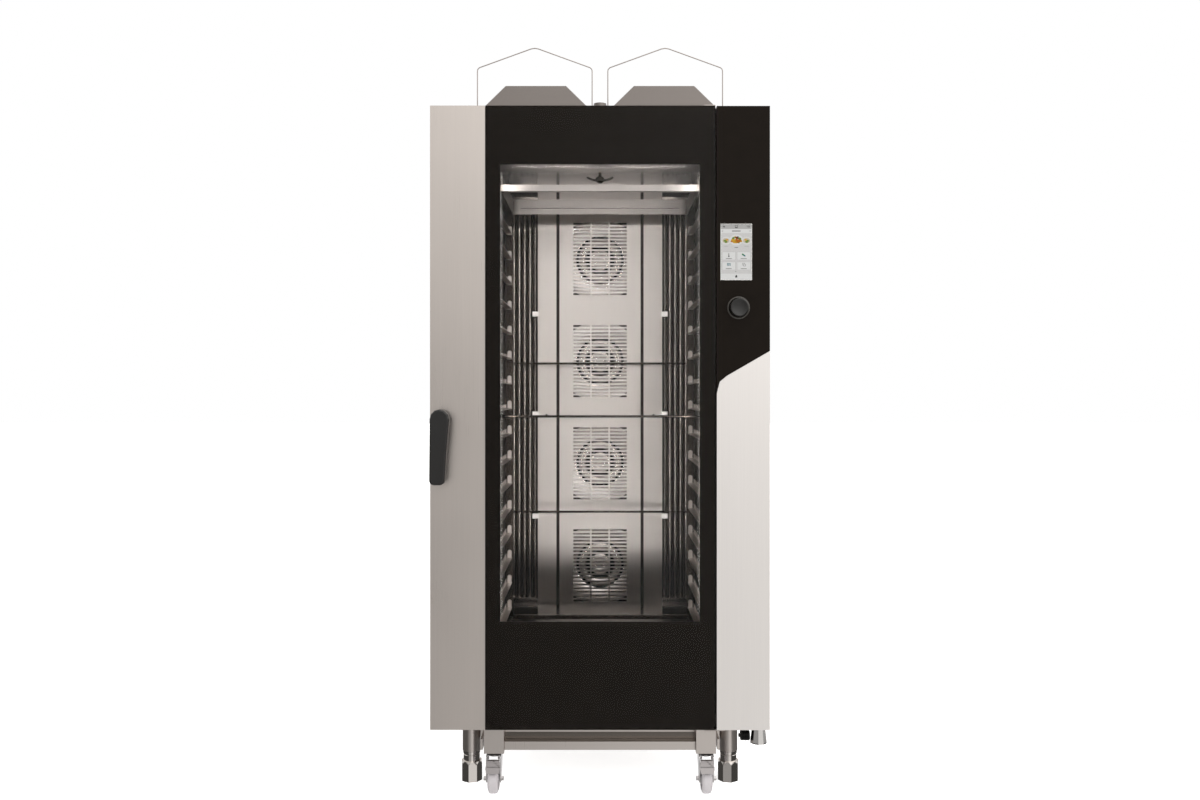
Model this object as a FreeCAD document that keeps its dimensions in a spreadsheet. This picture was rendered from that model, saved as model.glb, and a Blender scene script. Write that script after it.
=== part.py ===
"""Roll-in combi steamer oven, gas heated, sixteen tray levels on a mobile rack.

Millimetres. X points to the control column, Y into the cavity, Z up. The origin lies on the floor
under the middle of the oven's bounding box. Every sub-part is one object of the document, its sizes
are bound to the sheet "Sizes", and its Label names the STEP file written for it.
"""
import FreeCAD, Part
import math
import os
import re
import Sketcher

from FreeCAD import Placement, Rotation, Vector

SIZES = {
    # cabinet
    "half_width": 468.5, "front": -440, "rear": 470, "bottom": 188, "top": 1908.5, "sheet": 1.5,
    "frame_front": -366.5, "frame_back": -340, "frame_half": 309, "frame_top": 1783,
    "cavity_half": 318, "cavity_floor": 365, "cavity_roof": 1790, "cavity_back": 330,
    "column_left": 322, "panel_thick": 6, "wool": 40,
    # door
    "door_right": 318, "door_bottom": 188.5, "door_top": 1909.5, "door_thick": 66, "strip_right": -317,
    "glass_thick": 5, "print_thick": 0.4, "window_half": 275.5, "window_low": 486, "window_high": 1748,
    "hinge_x": 300, "hinge_y": -430, "hinge_pin_r": 4, "running_gap": 0.05,
    "handle_x": -434, "handle_z": 1047, "handle_reach": 62, "handle_low": 868,
    # controls
    "knob_x": 382, "knob_z": 1352, "knob_r": 25.75,
    "display_x": 375.6, "display_z": 1506, "display_width": 86, "display_height": 154.7,
    # air and heat
    "baffle_y": 160, "baffle_half": 135, "strip_in": 145, "strip_out": 207, "fan_low": 540.5,
    "fan_pitch": 340, "slot_long": 56, "slot_web": 4.8, "slot_high": 6.4, "slot_pitch": 11.7,
    # roof
    "guard_x": 212, "hood_x": 204, "flue_y": 80, "hood_half": 159.5, "hood_top_half": 96, "hood_deep": 150,
    "hood_shoulder": 2030, "hood_top": 2092, "guard_half": 186.5, "guard_shoulder": 2170,
    "guard_apex": 2238, "guard_r": 1.75, "guard_corner": 1.22, "guard_slant": 1.86,
    "vent_r": 21, "vent_y": 160, "vent_top": 2076,
    # rear connections
    "pipe_end": 502, "drain_r": 25, "drain_x": -150, "drain_z": 270, "gas_r": 13.2, "gas_x": 350,
    "gas_z": 330, "water_r": 13.2, "water_x": 230, "water_pitch": 60, "water_z": 260,
    "gland_x": 420, "gland_z": 420, "gland_r": 16,
    # feet
    "foot_x": 371, "foot_front": -295, "foot_rear": 330, "foot_r": 31, "foot_high": 55, "neck_r": 25,
    "collar_z": 85, "sleeve_r": 26.5, "stem_r": 20,
    # rack
    "guide_in": 328, "guide_out": 334, "leg_in": 268, "leg_out": 324, "leg_front": -404,
    "leg_deep": 70, "leg_low": 110, "leg_high": 183.5, "rack_front": -358, "rack_rear": 40,
    "rail_in": 282.5, "rail_out": 302, "rail_low": 425, "rail_pitch": 80, "rail_levels": 16,
    "rail_sheet": 1.5, "plate_top": 400, "rack_top": 1737,
    # castors
    "castor_x": 297, "castor_front": -370, "castor_rear": 120, "castor_trail": 28, "wheel_r": 40,
    "wheel_wide": 30, "fork_half": 21, "axle_r": 6, "swivel_r": 8,
}

doc = FreeCAD.newDocument("RollInSteamer")
sheet = doc.addObject("Spreadsheet::Sheet", "Sizes")
for row, (alias, number) in enumerate(SIZES.items(), start=1):
    sheet.set(f"A{row}", alias)
    sheet.set(f"B{row}", str(number))
    sheet.setAlias(f"B{row}", alias)
doc.recompute()

nodes = []


def formula(text):
    """Expression for text, in which every alias is read from the sheet."""
    def read(word):
        return "Sizes." + word.group() if word.group() in SIZES else word.group()
    return re.sub(r"[a-z]\w*", read, str(text))


def number(text):
    """Value of a formula with the sheet's present sizes."""
    return float(sheet.evalExpression(formula(text)))


def place(piece, at, turn=Rotation()):
    """Bind a piece's place to three formulas and turn it."""
    piece.Placement = Placement(Vector(), turn)
    for letter, text in zip("xyz", at):
        piece.setExpression("Placement.Base." + letter, formula(text))
    return piece


def block(name, x, y, z):
    """Rectangular block between the two formulas of each axis."""
    piece = doc.addObject("Part::Box", name)
    for side, (low, high) in zip(("Length", "Width", "Height"), (x, y, z)):
        piece.setExpression(side, formula(f"({high}) - ({low})"))
    return place(piece, (x[0], y[0], z[0]))


def across(x):
    """The mirror image of a span in X."""
    return f"-({x[1]})", f"-({x[0]})"


AXIS_TURNS = {
    "x": Rotation(Vector(0, 1, 0), 90),
    "y": Rotation(Vector(1, 0, 0), -90),
    "z": Rotation(),
}


def rod(name, axis, radius, at, span):
    """Cylinder along an axis: at gives the other two coordinates, span its two ends."""
    piece = doc.addObject("Part::Cylinder", name)
    piece.setExpression("Radius", formula(radius))
    piece.setExpression("Height", formula(f"({span[1]}) - ({span[0]})"))
    base = list(at)
    base.insert("xyz".index(axis), span[0])
    return place(piece, base, AXIS_TURNS[axis])


def cut(name, base, tools):
    """Base less every tool."""
    piece = doc.addObject("Part::Cut", name)
    piece.Base = base
    piece.Tool = tools[0] if len(tools) == 1 else group(name + "_tools", tools)
    return piece


def fuse(name, pieces):
    """One solid of several that touch."""
    piece = doc.addObject("Part::MultiFuse", name)
    piece.Shapes = pieces
    piece.Refine = True
    return piece


def group(name, pieces):
    """Like pieces kept as separate solids in one node."""
    piece = doc.addObject("Part::Compound", name)
    piece.Links = pieces
    return piece


def tube(name, axis, radius, bore, at, span):
    """Round tube along an axis."""
    return cut(name, rod(name + "_outside", axis, radius, at, span),
               [rod(name + "_bore", axis, bore, at, span)])


def hollow(name, x, y, z, wall="sheet"):
    """Closed box bent from sheet."""
    inside = [(f"{low} + {wall}", f"{high} - {wall}") for low, high in (x, y, z)]
    return cut(name, block(name + "_outside", x, y, z), [block(name + "_inside", *inside)])


def outline(body, axis, points, level):
    """Closed sketch across an axis, every corner held at its two formulas from the origin."""
    role = {"x": "YZ_Plane", "y": "XZ_Plane", "z": "XY_Plane"}[axis]
    plane = next(entry for entry in body.Origin.OriginFeatures if entry.Role == role)
    sketch = body.newObject("Sketcher::SketchObject", body.Name + "_sketch")
    sketch.AttachmentSupport = (plane, [""])
    sketch.MapMode = "FlatFace"
    side = "-" if axis == "y" else ""
    sketch.setExpression("AttachmentOffset.Base.z", formula(f"{side}({level})"))
    corners = [Vector(number(u), number(v), 0) for u, v in points]
    count = len(points)
    for index, corner in enumerate(corners):
        sketch.addGeometry(Part.LineSegment(corner, corners[(index + 1) % count]), False)
    for index in range(count):
        sketch.addConstraint(Sketcher.Constraint("Coincident", index, 2, (index + 1) % count, 1))
    for index, (corner, point) in enumerate(zip(corners, points)):
        for kind, axis_line, distance, text in (("DistanceX", -2, corner.x, point[0]),
                                                ("DistanceY", -1, corner.y, point[1])):
            if abs(distance) < 1e-9:
                sketch.addConstraint(Sketcher.Constraint("PointOnObject", index, 1, axis_line))
                continue
            held = sketch.addConstraint(Sketcher.Constraint(kind, -1, 1, index, 1, distance))
            sketch.setExpression(f"Constraints[{held}]", formula(text))
    return sketch


def prism(name, axis, points, span):
    """Body padded along an axis from an outline in the other two."""
    body = doc.addObject("PartDesign::Body", name)
    pad = body.newObject("PartDesign::Pad", name + "_pad")
    pad.Profile = outline(body, axis, points, span[0])
    pad.Reversed = axis == "y"
    pad.setExpression("Length", formula(f"({span[1]}) - ({span[0]})"))
    body.Tip = pad
    return body


def turned(name, points, at, turn=Rotation()):
    """Body revolved about its own Z from an outline of radius and height."""
    body = doc.addObject("PartDesign::Body", name)
    revolution = body.newObject("PartDesign::Revolution", name + "_revolution")
    sketch = outline(body, "y", points, "0")
    revolution.Profile = sketch
    revolution.ReferenceAxis = (sketch, ["V_Axis"])
    revolution.Angle = 360
    body.Tip = revolution
    return place(body, at, turn)


def node(piece):
    """Keep a finished sub-part for export."""
    nodes.append(piece)
    return piece


def both_sides(name, x, y, z):
    """Two blocks, the second mirrored in X."""
    return [block(name + "_right", x, y, z), block(name + "_left", across(x), y, z)]


SIDES = {"left": "-", "right": ""}
FAN_LEVELS = [f"fan_low + {index} * fan_pitch" for index in range(4)]


# cabinet skin ---------------------------------------------------------------------------------

def side_panels():
    """Folded steel sides; the right one reaches to the control front and has cooling louvres."""
    node(block("side_panel_left", ("-half_width", "-half_width + sheet"), ("frame_front", "rear"),
               ("bottom", "top - sheet")))
    plate = block("side_panel_right_plate", ("half_width - sheet", "half_width"),
                  ("front + panel_thick", "rear"), ("bottom", "top - sheet"))
    louvres = [block(f"louvre_{index}", ("half_width - 2 * sheet", "half_width + sheet"), ("230", "410"),
                     (f"260 + {index} * 22", f"266 + {index} * 22")) for index in range(12)]
    node(cut("side_panel_right", plate, louvres))


def top_panel():
    """Flat roof sheet, with a tongue forward over the control column."""
    plate = prism("top_panel_plate", "z",
                  [("-half_width", "frame_front"), ("column_left", "frame_front"),
                   ("column_left", "front + panel_thick"), ("half_width", "front + panel_thick"),
                   ("half_width", "rear"), ("-half_width", "rear")], ("top - sheet", "top"))
    holes = [rod("vent_hole", "z", "vent_r - sheet", ("0", "vent_y"), ("top - 2 * sheet", "top + sheet"))]
    for side, sign in SIDES.items():
        holes.append(rod(f"flue_hole_{side}", "z", "60", (f"{sign}hood_x", "flue_y"),
                         ("top - 2 * sheet", "top + sheet")))
    node(cut("top_panel", plate, holes))


def rear_panel():
    """Rear sheet with louvres and the holes of the connections."""
    plate = block("rear_panel_plate", ("-half_width + sheet", "half_width - sheet"), ("rear - sheet", "rear"),
                  ("bottom", "top - sheet"))
    through = ("rear - 2 * sheet", "rear + sheet")
    holes = [rod("drain_hole", "y", "drain_r + 1", ("drain_x", "drain_z"), through),
             rod("gas_hole", "y", "gas_r + 1", ("gas_x", "gas_z"), through),
             rod("gland_hole", "y", "gland_r - 5", ("gland_x", "gland_z"), through)]
    for index in range(2):
        holes.append(rod(f"water_hole_{index}", "y", "water_r + 1",
                         (f"water_x + {index} * water_pitch", "water_z"), through))
    for index in range(14):
        holes.append(block(f"rear_louvre_{index}", ("-330", "-130"), through,
                           (f"1500 + {index} * 22", f"1506 + {index} * 22")))
    node(cut("rear_panel", plate, holes))


def base_chassis():
    """Welded bottom frame: beams, floor sheet, foot sleeves and the strips that guide the rack."""
    pieces = [block("floor_sheet", ("-half_width + sheet", "half_width - sheet"),
                    ("frame_back", "rear - sheet"),
                    ("bottom", "bottom + 2"))]
    for side, sign in SIDES.items():
        span = ("340", "455")
        pieces.append(hollow(f"side_beam_{side}", span if sign == "" else across(span),
                             ("frame_back + 1", "440"),
                             ("bottom + 2", "bottom + 42")))
        guide = ("guide_in", "guide_out")
        guide = guide if sign == "" else across(guide)
        pieces.append(block(f"guide_{side}", guide, ("-400", "330"), ("120", "150")))
        for end, place_y in (("front", "foot_front"), ("rear", "foot_rear")):
            web = ("guide_out", "foot_x - sleeve_r - 0.5")
            pieces.append(block(f"gusset_{side}_{end}", web if sign == "" else across(web),
                                (f"{place_y} - 10", f"{place_y} - 4"), ("122", "bottom")))
            pieces.append(tube(f"sleeve_{side}_{end}", "z", "sleeve_r", "stem_r + running_gap",
                               (f"{sign}foot_x", place_y), ("collar_z + 1", "bottom")))
    for end, span in (("front", ("-330", "-290")), ("rear", ("400", "440"))):
        pieces.append(hollow(f"cross_beam_{end}", ("-340", "340"), span, ("bottom + 2", "bottom + 42")))
    node(group("base_chassis", pieces))


def front_frame():
    """Folded frame round the cavity mouth, with the lower front behind the rack's plate."""
    right = ("frame_half", "half_width - sheet")
    depth = ("frame_front", "frame_back")
    pocket = block("latch_pocket", ("handle_x - 26", "handle_x + 26"),
                   ("frame_front - 1", "frame_front + 20"),
                   ("handle_z - 26", "handle_z + 26"))
    pieces = [hollow("frame_right", right, depth, ("bottom", "top - sheet")),
              cut("frame_left", hollow("frame_left_box", across(right), depth, ("bottom", "top - sheet")),
                  [pocket]),
              hollow("frame_head", ("-frame_half", "frame_half"), depth, ("frame_top", "top - sheet")),
              block("frame_lower", ("-frame_half", "frame_half"), ("-344", "frame_back"),
                    ("bottom + 2", "cavity_floor - 2"))]
    node(group("front_frame", pieces))


# controls ---------------------------------------------------------------------------------------

def control_column():
    """Steel lower front and black glass upper front, parted by a slanting joint."""
    depth = ("front", "front + panel_thick")
    lower = prism("control_lower", "y", [("column_left", "bottom"), ("half_width", "bottom"),
                                         ("half_width", "1233"), ("350", "1164.5"), ("330", "1148"),
                                         ("column_left", "1116")], depth)
    wall = block("column_wall", ("column_left", "column_left + sheet"),
                 ("front + panel_thick", "frame_front"),
                 ("bottom", "top - sheet"))
    base = block("column_floor", ("column_left + sheet", "half_width - sheet"),
                 ("front + panel_thick", "frame_front"), ("bottom", "bottom + sheet"))
    node(group("control_panel", [lower, wall, base]))
    glass = prism("control_glass_blank", "y", [("column_left", "1117"), ("330", "1149"), ("350", "1165.5"),
                                               ("half_width", "1234"), ("half_width", "top"),
                                               ("column_left", "top")], depth)
    screen = block("screen_hole", ("display_x - display_width / 2", "display_x + display_width / 2"),
                   ("front - 1", "front + panel_thick + 1"),
                   ("display_z - display_height / 2", "display_z + display_height / 2"))
    shaft = rod("shaft_hole", "y", "4", ("knob_x", "knob_z"), ("front - 1", "front + panel_thick + 1"))
    node(cut("control_glass", glass, [screen, shaft]))
    node(block("display_module", ("display_x - display_width / 2", "display_x + display_width / 2"),
               ("front", "front + 18"), ("display_z - display_height / 2", "display_z + display_height / 2")))


def control_board():
    """Circuit board behind the glass, and the encoder's bored housing."""
    board = block("board", ("340", "460"), ("-398", "-396"), ("1240", "1600"))
    power = block("power_supply", ("350", "440"), ("-396", "-372"), ("1260", "1400"))
    housing = cut("encoder_housing", block("encoder_block", ("knob_x - 10", "knob_x + 10"), ("-434", "-406"),
                                           ("knob_z - 10", "knob_z + 10")),
                  [rod("encoder_bore", "y", "3 + running_gap", ("knob_x", "knob_z"), ("-435", "-405"))])
    node(group("control_board", [board, power, housing]))


def control_knob():
    """Push-and-turn knob: a shaft that slides in, and the knob that turns on it."""
    node(rod("encoder_shaft", "y", "3", ("knob_x", "knob_z"), ("front - 16", "-408")))
    toward_user = Rotation(Vector(1, 0, 0), 90)
    node(turned("control_knob", [("0", "17"), ("3 + running_gap", "17"), ("3 + running_gap", "2.5"),
                                 ("knob_r - 1", "2.5"), ("knob_r", "4"), ("knob_r - 1", "20"),
                                 ("knob_r - 3.5", "23"), ("0", "23")],
                       ("knob_x", "front", "knob_z"), toward_user))


# cavity -------------------------------------------------------------------------------------------

def cavity_liner():
    """Five welded walls of the cooking chamber."""
    side = ("cavity_half", "cavity_half + sheet")
    depth = ("frame_back", "cavity_back")
    height = ("cavity_floor", "cavity_roof")
    back = block("liner_back_sheet", ("-cavity_half", "cavity_half"), ("cavity_back", "cavity_back + sheet"),
                 height)
    shafts = [rod(f"shaft_passage_{index}", "y", "9", ("0", level), ("cavity_back - 1", "cavity_back + 3"))
              for index, level in enumerate(FAN_LEVELS)]
    wide = ("-cavity_half - sheet", "cavity_half + sheet")
    depth_all = ("frame_back", "cavity_back + sheet")
    roof = block("liner_roof_sheet", wide, depth_all, ("cavity_roof", "cavity_roof + sheet"))
    pieces = [block("liner_floor", wide, depth_all, ("cavity_floor - sheet", "cavity_floor")),
              cut("liner_roof", roof, [rod("wash_passage", "z", "6", ("0", "-120"),
                                           ("cavity_roof - 1", "cavity_roof + 3"))]),
              cut("liner_back", back, shafts)]
    pieces += both_sides("liner_side", side, depth, height)
    node(group("cavity_liner", pieces))


def door_seal():
    """Rubber gasket clipped round the cavity mouth."""
    inner = "frame_half + 0.5"
    outer = "cavity_half - 0.5"
    depth = ("frame_front - 4.2", "frame_front")
    low = "372"
    high = "frame_top + 9"
    pieces = both_sides("seal_side", (inner, outer), depth, (low, high))
    pieces.append(block("seal_head", (f"-({inner})", inner), depth, (f"{high} - 9", high)))
    pieces.append(block("seal_foot", (f"-({inner})", inner), depth, (low, f"{low} + 9")))
    node(group("door_seal", pieces))


def insulation():
    """Mineral wool slabs on five sides of the liner."""
    near = "cavity_half + sheet"
    depth = ("frame_back", "cavity_back + sheet")
    roof = block("wool_roof_slab", ("-cavity_half", "cavity_half"), depth,
                 ("cavity_roof + sheet", "cavity_roof + sheet + wool"))
    back = block("wool_back_slab", ("-cavity_half", "cavity_half"),
                 ("cavity_back + sheet", "cavity_back + sheet + wool"), ("cavity_floor", "cavity_roof"))
    shafts = [rod(f"wool_passage_{index}", "y", "9", ("0", level), ("cavity_back", "cavity_back + wool + 5"))
              for index, level in enumerate(FAN_LEVELS)]
    pieces = both_sides("wool_side", (near, f"{near} + wool"), depth, ("cavity_floor", "cavity_roof"))
    pieces.append(cut("wool_roof", roof, [rod("wool_wash_passage", "z", "12", ("0", "-120"),
                                              ("cavity_roof", "cavity_roof + wool + 5"))]))
    pieces.append(cut("wool_back", back, shafts))
    pieces.append(block("wool_floor", ("-cavity_half", "cavity_half"), depth,
                        ("cavity_floor - sheet - wool", "cavity_floor - sheet")))
    node(group("insulation", pieces))


def air_baffle():
    """Three lift-out plates; the middle one has a slotted grille in front of each fan."""
    depth = ("baffle_y", "baffle_y + sheet")
    height = ("cavity_floor + 5", "cavity_roof - 5")
    body = prism("baffle_middle", "y", [("-baffle_half", height[0]), ("baffle_half", height[0]),
                                        ("baffle_half", height[1]), ("-baffle_half", height[1])], depth)
    doc.recompute()
    rows = 21
    slot_low = "fan_low - 10 * slot_pitch - slot_high / 2"
    sketches = []
    for column in (-1, 0, 1):
        middle = f"{column} * (slot_long + slot_web)"
        sketches.append((f"{middle} - slot_long / 2", f"{middle} + slot_long / 2"))
    slots = []
    for left, right in sketches:
        sketch = outline(body, "y", [(left, slot_low), (right, slot_low), (right, f"{slot_low} + slot_high"),
                                     (left, f"{slot_low} + slot_high")], "baffle_y")
        pocket = body.newObject("PartDesign::Pocket", "slot")
        pocket.Profile = sketch
        pocket.Reversed = False
        pocket.Type = 1
        pocket.Midplane = True
        slots.append(pocket)
    doc.recompute()
    pattern = body.newObject("PartDesign::MultiTransform", "slot_rows")
    pattern.Originals = slots
    upright = next(entry for entry in body.Origin.OriginFeatures if entry.Role == "Z_Axis")
    steps = []
    for name, pitch, count in (("rows", "slot_pitch", rows), ("grilles", "fan_pitch", len(FAN_LEVELS))):
        step = body.newObject("PartDesign::LinearPattern", "slot_" + name)
        step.Direction = (upright, [""])
        step.Occurrences = count
        step.setExpression("Length", formula(f"{pitch} * {count - 1}"))
        steps.append(step)
    pattern.Transformations = steps
    body.Tip = pattern
    strips = both_sides("baffle_strip", ("strip_in", "strip_out"), depth, height)
    node(group("air_baffle", [body] + strips))


def baffle_clips():
    """Spring clips that hold the outer plates."""
    pieces = []
    for index, level in enumerate(("705", "1044.5", "1377")):
        pieces += both_sides(f"clip_{index}", ("strip_out - 3", "strip_out + 18"),
                             ("baffle_y - 2", "baffle_y"),
                             (f"{level} - 8.5", f"{level} + 8.5"))
    node(group("baffle_clips", pieces))


def heat_exchangers():
    """Upright flue tubes between two headers, at each side of the fans."""
    pieces = []
    for side, sign in SIDES.items():
        for index in range(5):
            pieces.append(rod(f"tube_{side}_{index}", "z", "7", (f"{sign}(218 + {index} * 18)", "195"),
                              ("430", "1740")))
        span = ("208", "300")
        for end, height in (("low", ("400", "430")), ("high", ("1740", "1770"))):
            pieces.append(block(f"header_{side}_{end}", span if sign == "" else across(span), ("178", "212"),
                                height))
    node(group("heat_exchangers", pieces))


def gas_burners():
    """Blower burner above each heat exchanger."""
    pieces = []
    for side, sign in SIDES.items():
        span = ("165", "285")
        pieces.append(block(f"burner_{side}", span if sign == "" else across(span), ("170", "290"),
                            ("cavity_roof + sheet + wool", "cavity_roof + sheet + wool + 50")))
        pieces.append(rod(f"blower_{side}", "z", "45", (f"{sign}225", "230"),
                          ("cavity_roof + sheet + wool + 50", "top - 8")))
    node(group("gas_burners", pieces))


def fan_motors():
    """Four motors behind the rear wool, each with the bearing bore of its fan shaft."""
    pieces = []
    for index, level in enumerate(FAN_LEVELS):
        case = fuse(f"motor_case_{index}", [rod(f"motor_flange_{index}", "y", "70", ("0", level),
                                                ("373", "380")),
                                            rod(f"motor_drum_{index}", "y", "52", ("0", level),
                                                ("380", "458"))])
        pieces.append(cut(f"motor_{index}", case,
                          [rod(f"motor_bore_{index}", "y", "8 + running_gap", ("0", level),
                                                       ("372", "450"))]))
    node(group("fan_motors", pieces))


def fan_wheels():
    """Radial fan wheels: bladed ring between a rear disc and a front ring, on a shaft."""
    away = AXIS_TURNS["y"]
    blades = 18
    for index, level in enumerate(FAN_LEVELS):
        name = f"fan_wheel_{index + 1}"
        pieces = [turned(name + "_disc", [("0", "0"), ("8", "0"), ("8", "150"), ("0", "150")],
                         ("0", "290", level), away),
                  turned(name + "_hub", [("0", "-60"), ("30", "-60"), ("36", "-50"), ("36", "-2"),
                                         ("104", "-2"),
                                         ("104", "0"), ("0", "0")], ("0", "290", level), away),
                  turned(name + "_ring", [("78.5", "-100"), ("104", "-100"), ("104", "-98"), ("78.5", "-98")],
                         ("0", "290", level), away)]
        for blade in range(blades):
            leaf = doc.addObject("Part::Box", f"{name}_blade_{blade}")
            leaf.Length = 22
            leaf.Width = 2
            leaf.Height = 96
            angle = math.radians(360 / blades * blade)
            turn = away.multiply(Rotation(Vector(0, 0, 1), math.degrees(angle) + 20))
            start = (f"80 * {math.cos(angle):.6f}", "192", f"{level} - 80 * {math.sin(angle):.6f}")
            pieces.append(place(leaf, start, turn))
        node(group(name, pieces))


def spray_arm():
    """Two-armed wash nozzle that turns under the roof."""
    hub = turned("spray_hub", [("0", "-22"), ("9", "-22"), ("13", "-18"), ("13", "-4"), ("5", "-4"),
                               ("5", "45"),
                               ("0", "45")], ("0", "-120", "cavity_roof"))
    arms = both_sides("spray_bar", ("13.5", "38"), ("-124", "-116"), ("cavity_roof - 17", "cavity_roof - 9"))
    tips = [rod(f"spray_tip_{side}", "z", "3", (f"{sign}33", "-120"),
                ("cavity_roof - 23", "cavity_roof - 17.01"))
            for side, sign in SIDES.items()]
    node(group("spray_arm", [hub] + arms + tips))


# roof and rear --------------------------------------------------------------------------------------

def flues():
    """Exhaust hoods with sloping shoulders, and the bent wire guard that stands over each."""
    hoods = []
    wires = []
    for side, sign in SIDES.items():
        middle = f"{sign}hood_x"
        depth = ("flue_y - hood_deep / 2", "flue_y + hood_deep / 2")
        hoods.append(prism(f"hood_{side}", "y",
                           [(f"{middle} - hood_half", "top"), (f"{middle} + hood_half", "top"),
                            (f"{middle} + hood_half", "hood_shoulder"),
                            (f"{middle} + hood_top_half", "hood_top"),
                            (f"{middle} - hood_top_half", "hood_top"),
                            (f"{middle} - hood_half", "hood_shoulder")],
                           depth))
        middle = f"{sign}guard_x"
        outside = [(f"{middle} - guard_half - guard_r", "guard_shoulder + guard_corner"),
                   (middle, "guard_apex + guard_slant"),
                   (f"{middle} + guard_half + guard_r", "guard_shoulder + guard_corner"),
                   (f"{middle} + guard_half + guard_r", "top")]
        inside = [(f"{middle} + guard_half - guard_r", "top"),
                  (f"{middle} + guard_half - guard_r", "guard_shoulder - guard_corner"),
                  (middle, "guard_apex - guard_slant"),
                  (f"{middle} - guard_half + guard_r", "guard_shoulder - guard_corner"),
                  (f"{middle} - guard_half + guard_r", "top"),
                  (f"{middle} - guard_half - guard_r", "top")]
        wires.append(prism(f"guard_{side}", "y", outside + inside, ("flue_y - guard_r", "flue_y + guard_r")))
    node(group("flue_hoods", hoods))
    node(group("flue_guards", wires))
    node(tube("vent_pipe", "z", "vent_r", "vent_r - sheet", ("0", "vent_y"), ("top", "vent_top")))


def rear_connections():
    """Drain, gas and water connections and the cable gland, all facing the wall."""
    node(tube("drain_pipe", "y", "drain_r", "drain_r - 2", ("drain_x", "drain_z"), ("370", "pipe_end")))
    pieces = [tube("gas_inlet", "y", "gas_r", "9", ("gas_x", "gas_z"), ("430", "pipe_end - 4"))]
    for index in range(2):
        pieces.append(tube(f"water_inlet_{index}", "y", "water_r", "9",
                           (f"water_x + {index} * water_pitch", "water_z"), ("430", "pipe_end - 6")))
    node(group("supply_inlets", pieces))
    node(turned("cable_gland", [("0", "-14"), ("gland_r - 6", "-14"), ("gland_r - 6", "0"), ("gland_r", "0"),
                                ("gland_r", "9"), ("gland_r - 3", "20"), ("0", "20")],
                ("gland_x", "rear", "gland_z"), AXIS_TURNS["y"]))


def hand_shower():
    """Spray head hung under the front corner, and its hose reel's end cap."""
    head = turned("shower_head", [("0", "143"), ("24", "143"), ("19", "bottom"), ("0", "bottom")],
                  ("442", "-405", "0"))
    reel = rod("shower_reel", "x", "15", ("-405", "163"), ("391", "417"))
    stem = rod("shower_stem", "z", "6", ("404", "-405"), ("178.2", "bottom"))
    node(group("hand_shower", [head, reel, stem]))


# door -----------------------------------------------------------------------------------------------

def hinge_brackets():
    """Plates above and below the door with the pins that it turns on."""
    reach = ("front + 3", "frame_front")
    low = ("bottom - 3.5", "bottom")
    high = ("door_top + 0.5", "door_top + 3")
    low_pieces = [block("hinge_arm_low", ("hinge_x - 12", "hinge_x + 18"), reach, low),
                  block("hinge_foot_low", ("frame_half", "frame_half + 36"), ("front + 3", "frame_back"),
                        low),
                  rod("hinge_pin_low", "z", "hinge_pin_r", ("hinge_x", "hinge_y"), ("bottom", "bottom + 34"))]
    high_pieces = [block("hinge_arm_high", ("hinge_x - 12", "hinge_x + 18"), ("front + 3", "frame_back"),
                         high),
                   block("hinge_shim_high", ("hinge_x - 12", "hinge_x + 18"), ("frame_front", "frame_back"),
                         ("top", "door_top + 0.5")),
                   rod("hinge_pin_high", "z", "hinge_pin_r", ("hinge_x", "hinge_y"),
                       ("door_top - 34", "door_top + 0.5"))]
    node(group("hinge_brackets", [fuse("hinge_low", low_pieces), fuse("hinge_high", high_pieces)]))


def door_panes():
    """Outer pane with its black print, steel strip at the left, inner pane."""
    height = ("door_bottom", "door_top")
    node(block("door_outer_glass", ("strip_right + 0.5", "door_right"), ("front", "front + glass_thick"),
               height))
    behind = ("front + glass_thick", "front + glass_thick + print_thick")
    ink = block("ink_sheet", ("strip_right + 0.5", "door_right"), behind, height)
    window = block("ink_window", ("-window_half", "window_half"),
                   ("front", "front + glass_thick + 2"), ("window_low", "window_high"))
    node(cut("door_glass_print", ink, [window]))
    strip = block("strip_face", ("-half_width", "strip_right"), ("front", "front + 1.5"), height)
    side = block("strip_return", ("-half_width", "-half_width + 1.5"), ("front + 1.5", "front + door_thick"),
                 height)
    spindle = rod("strip_passage", "y", "7 + running_gap", ("handle_x", "handle_z"),
                  ("front - 1", "front + 3"))
    node(cut("door_side_panel", fuse("door_side_fold", [strip, side]), [spindle]))
    node(block("door_inner_glass", ("-315", "315"), ("front + door_thick - 6", "front + door_thick"),
               ("cavity_floor + 2", "cavity_roof + 6")))


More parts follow.
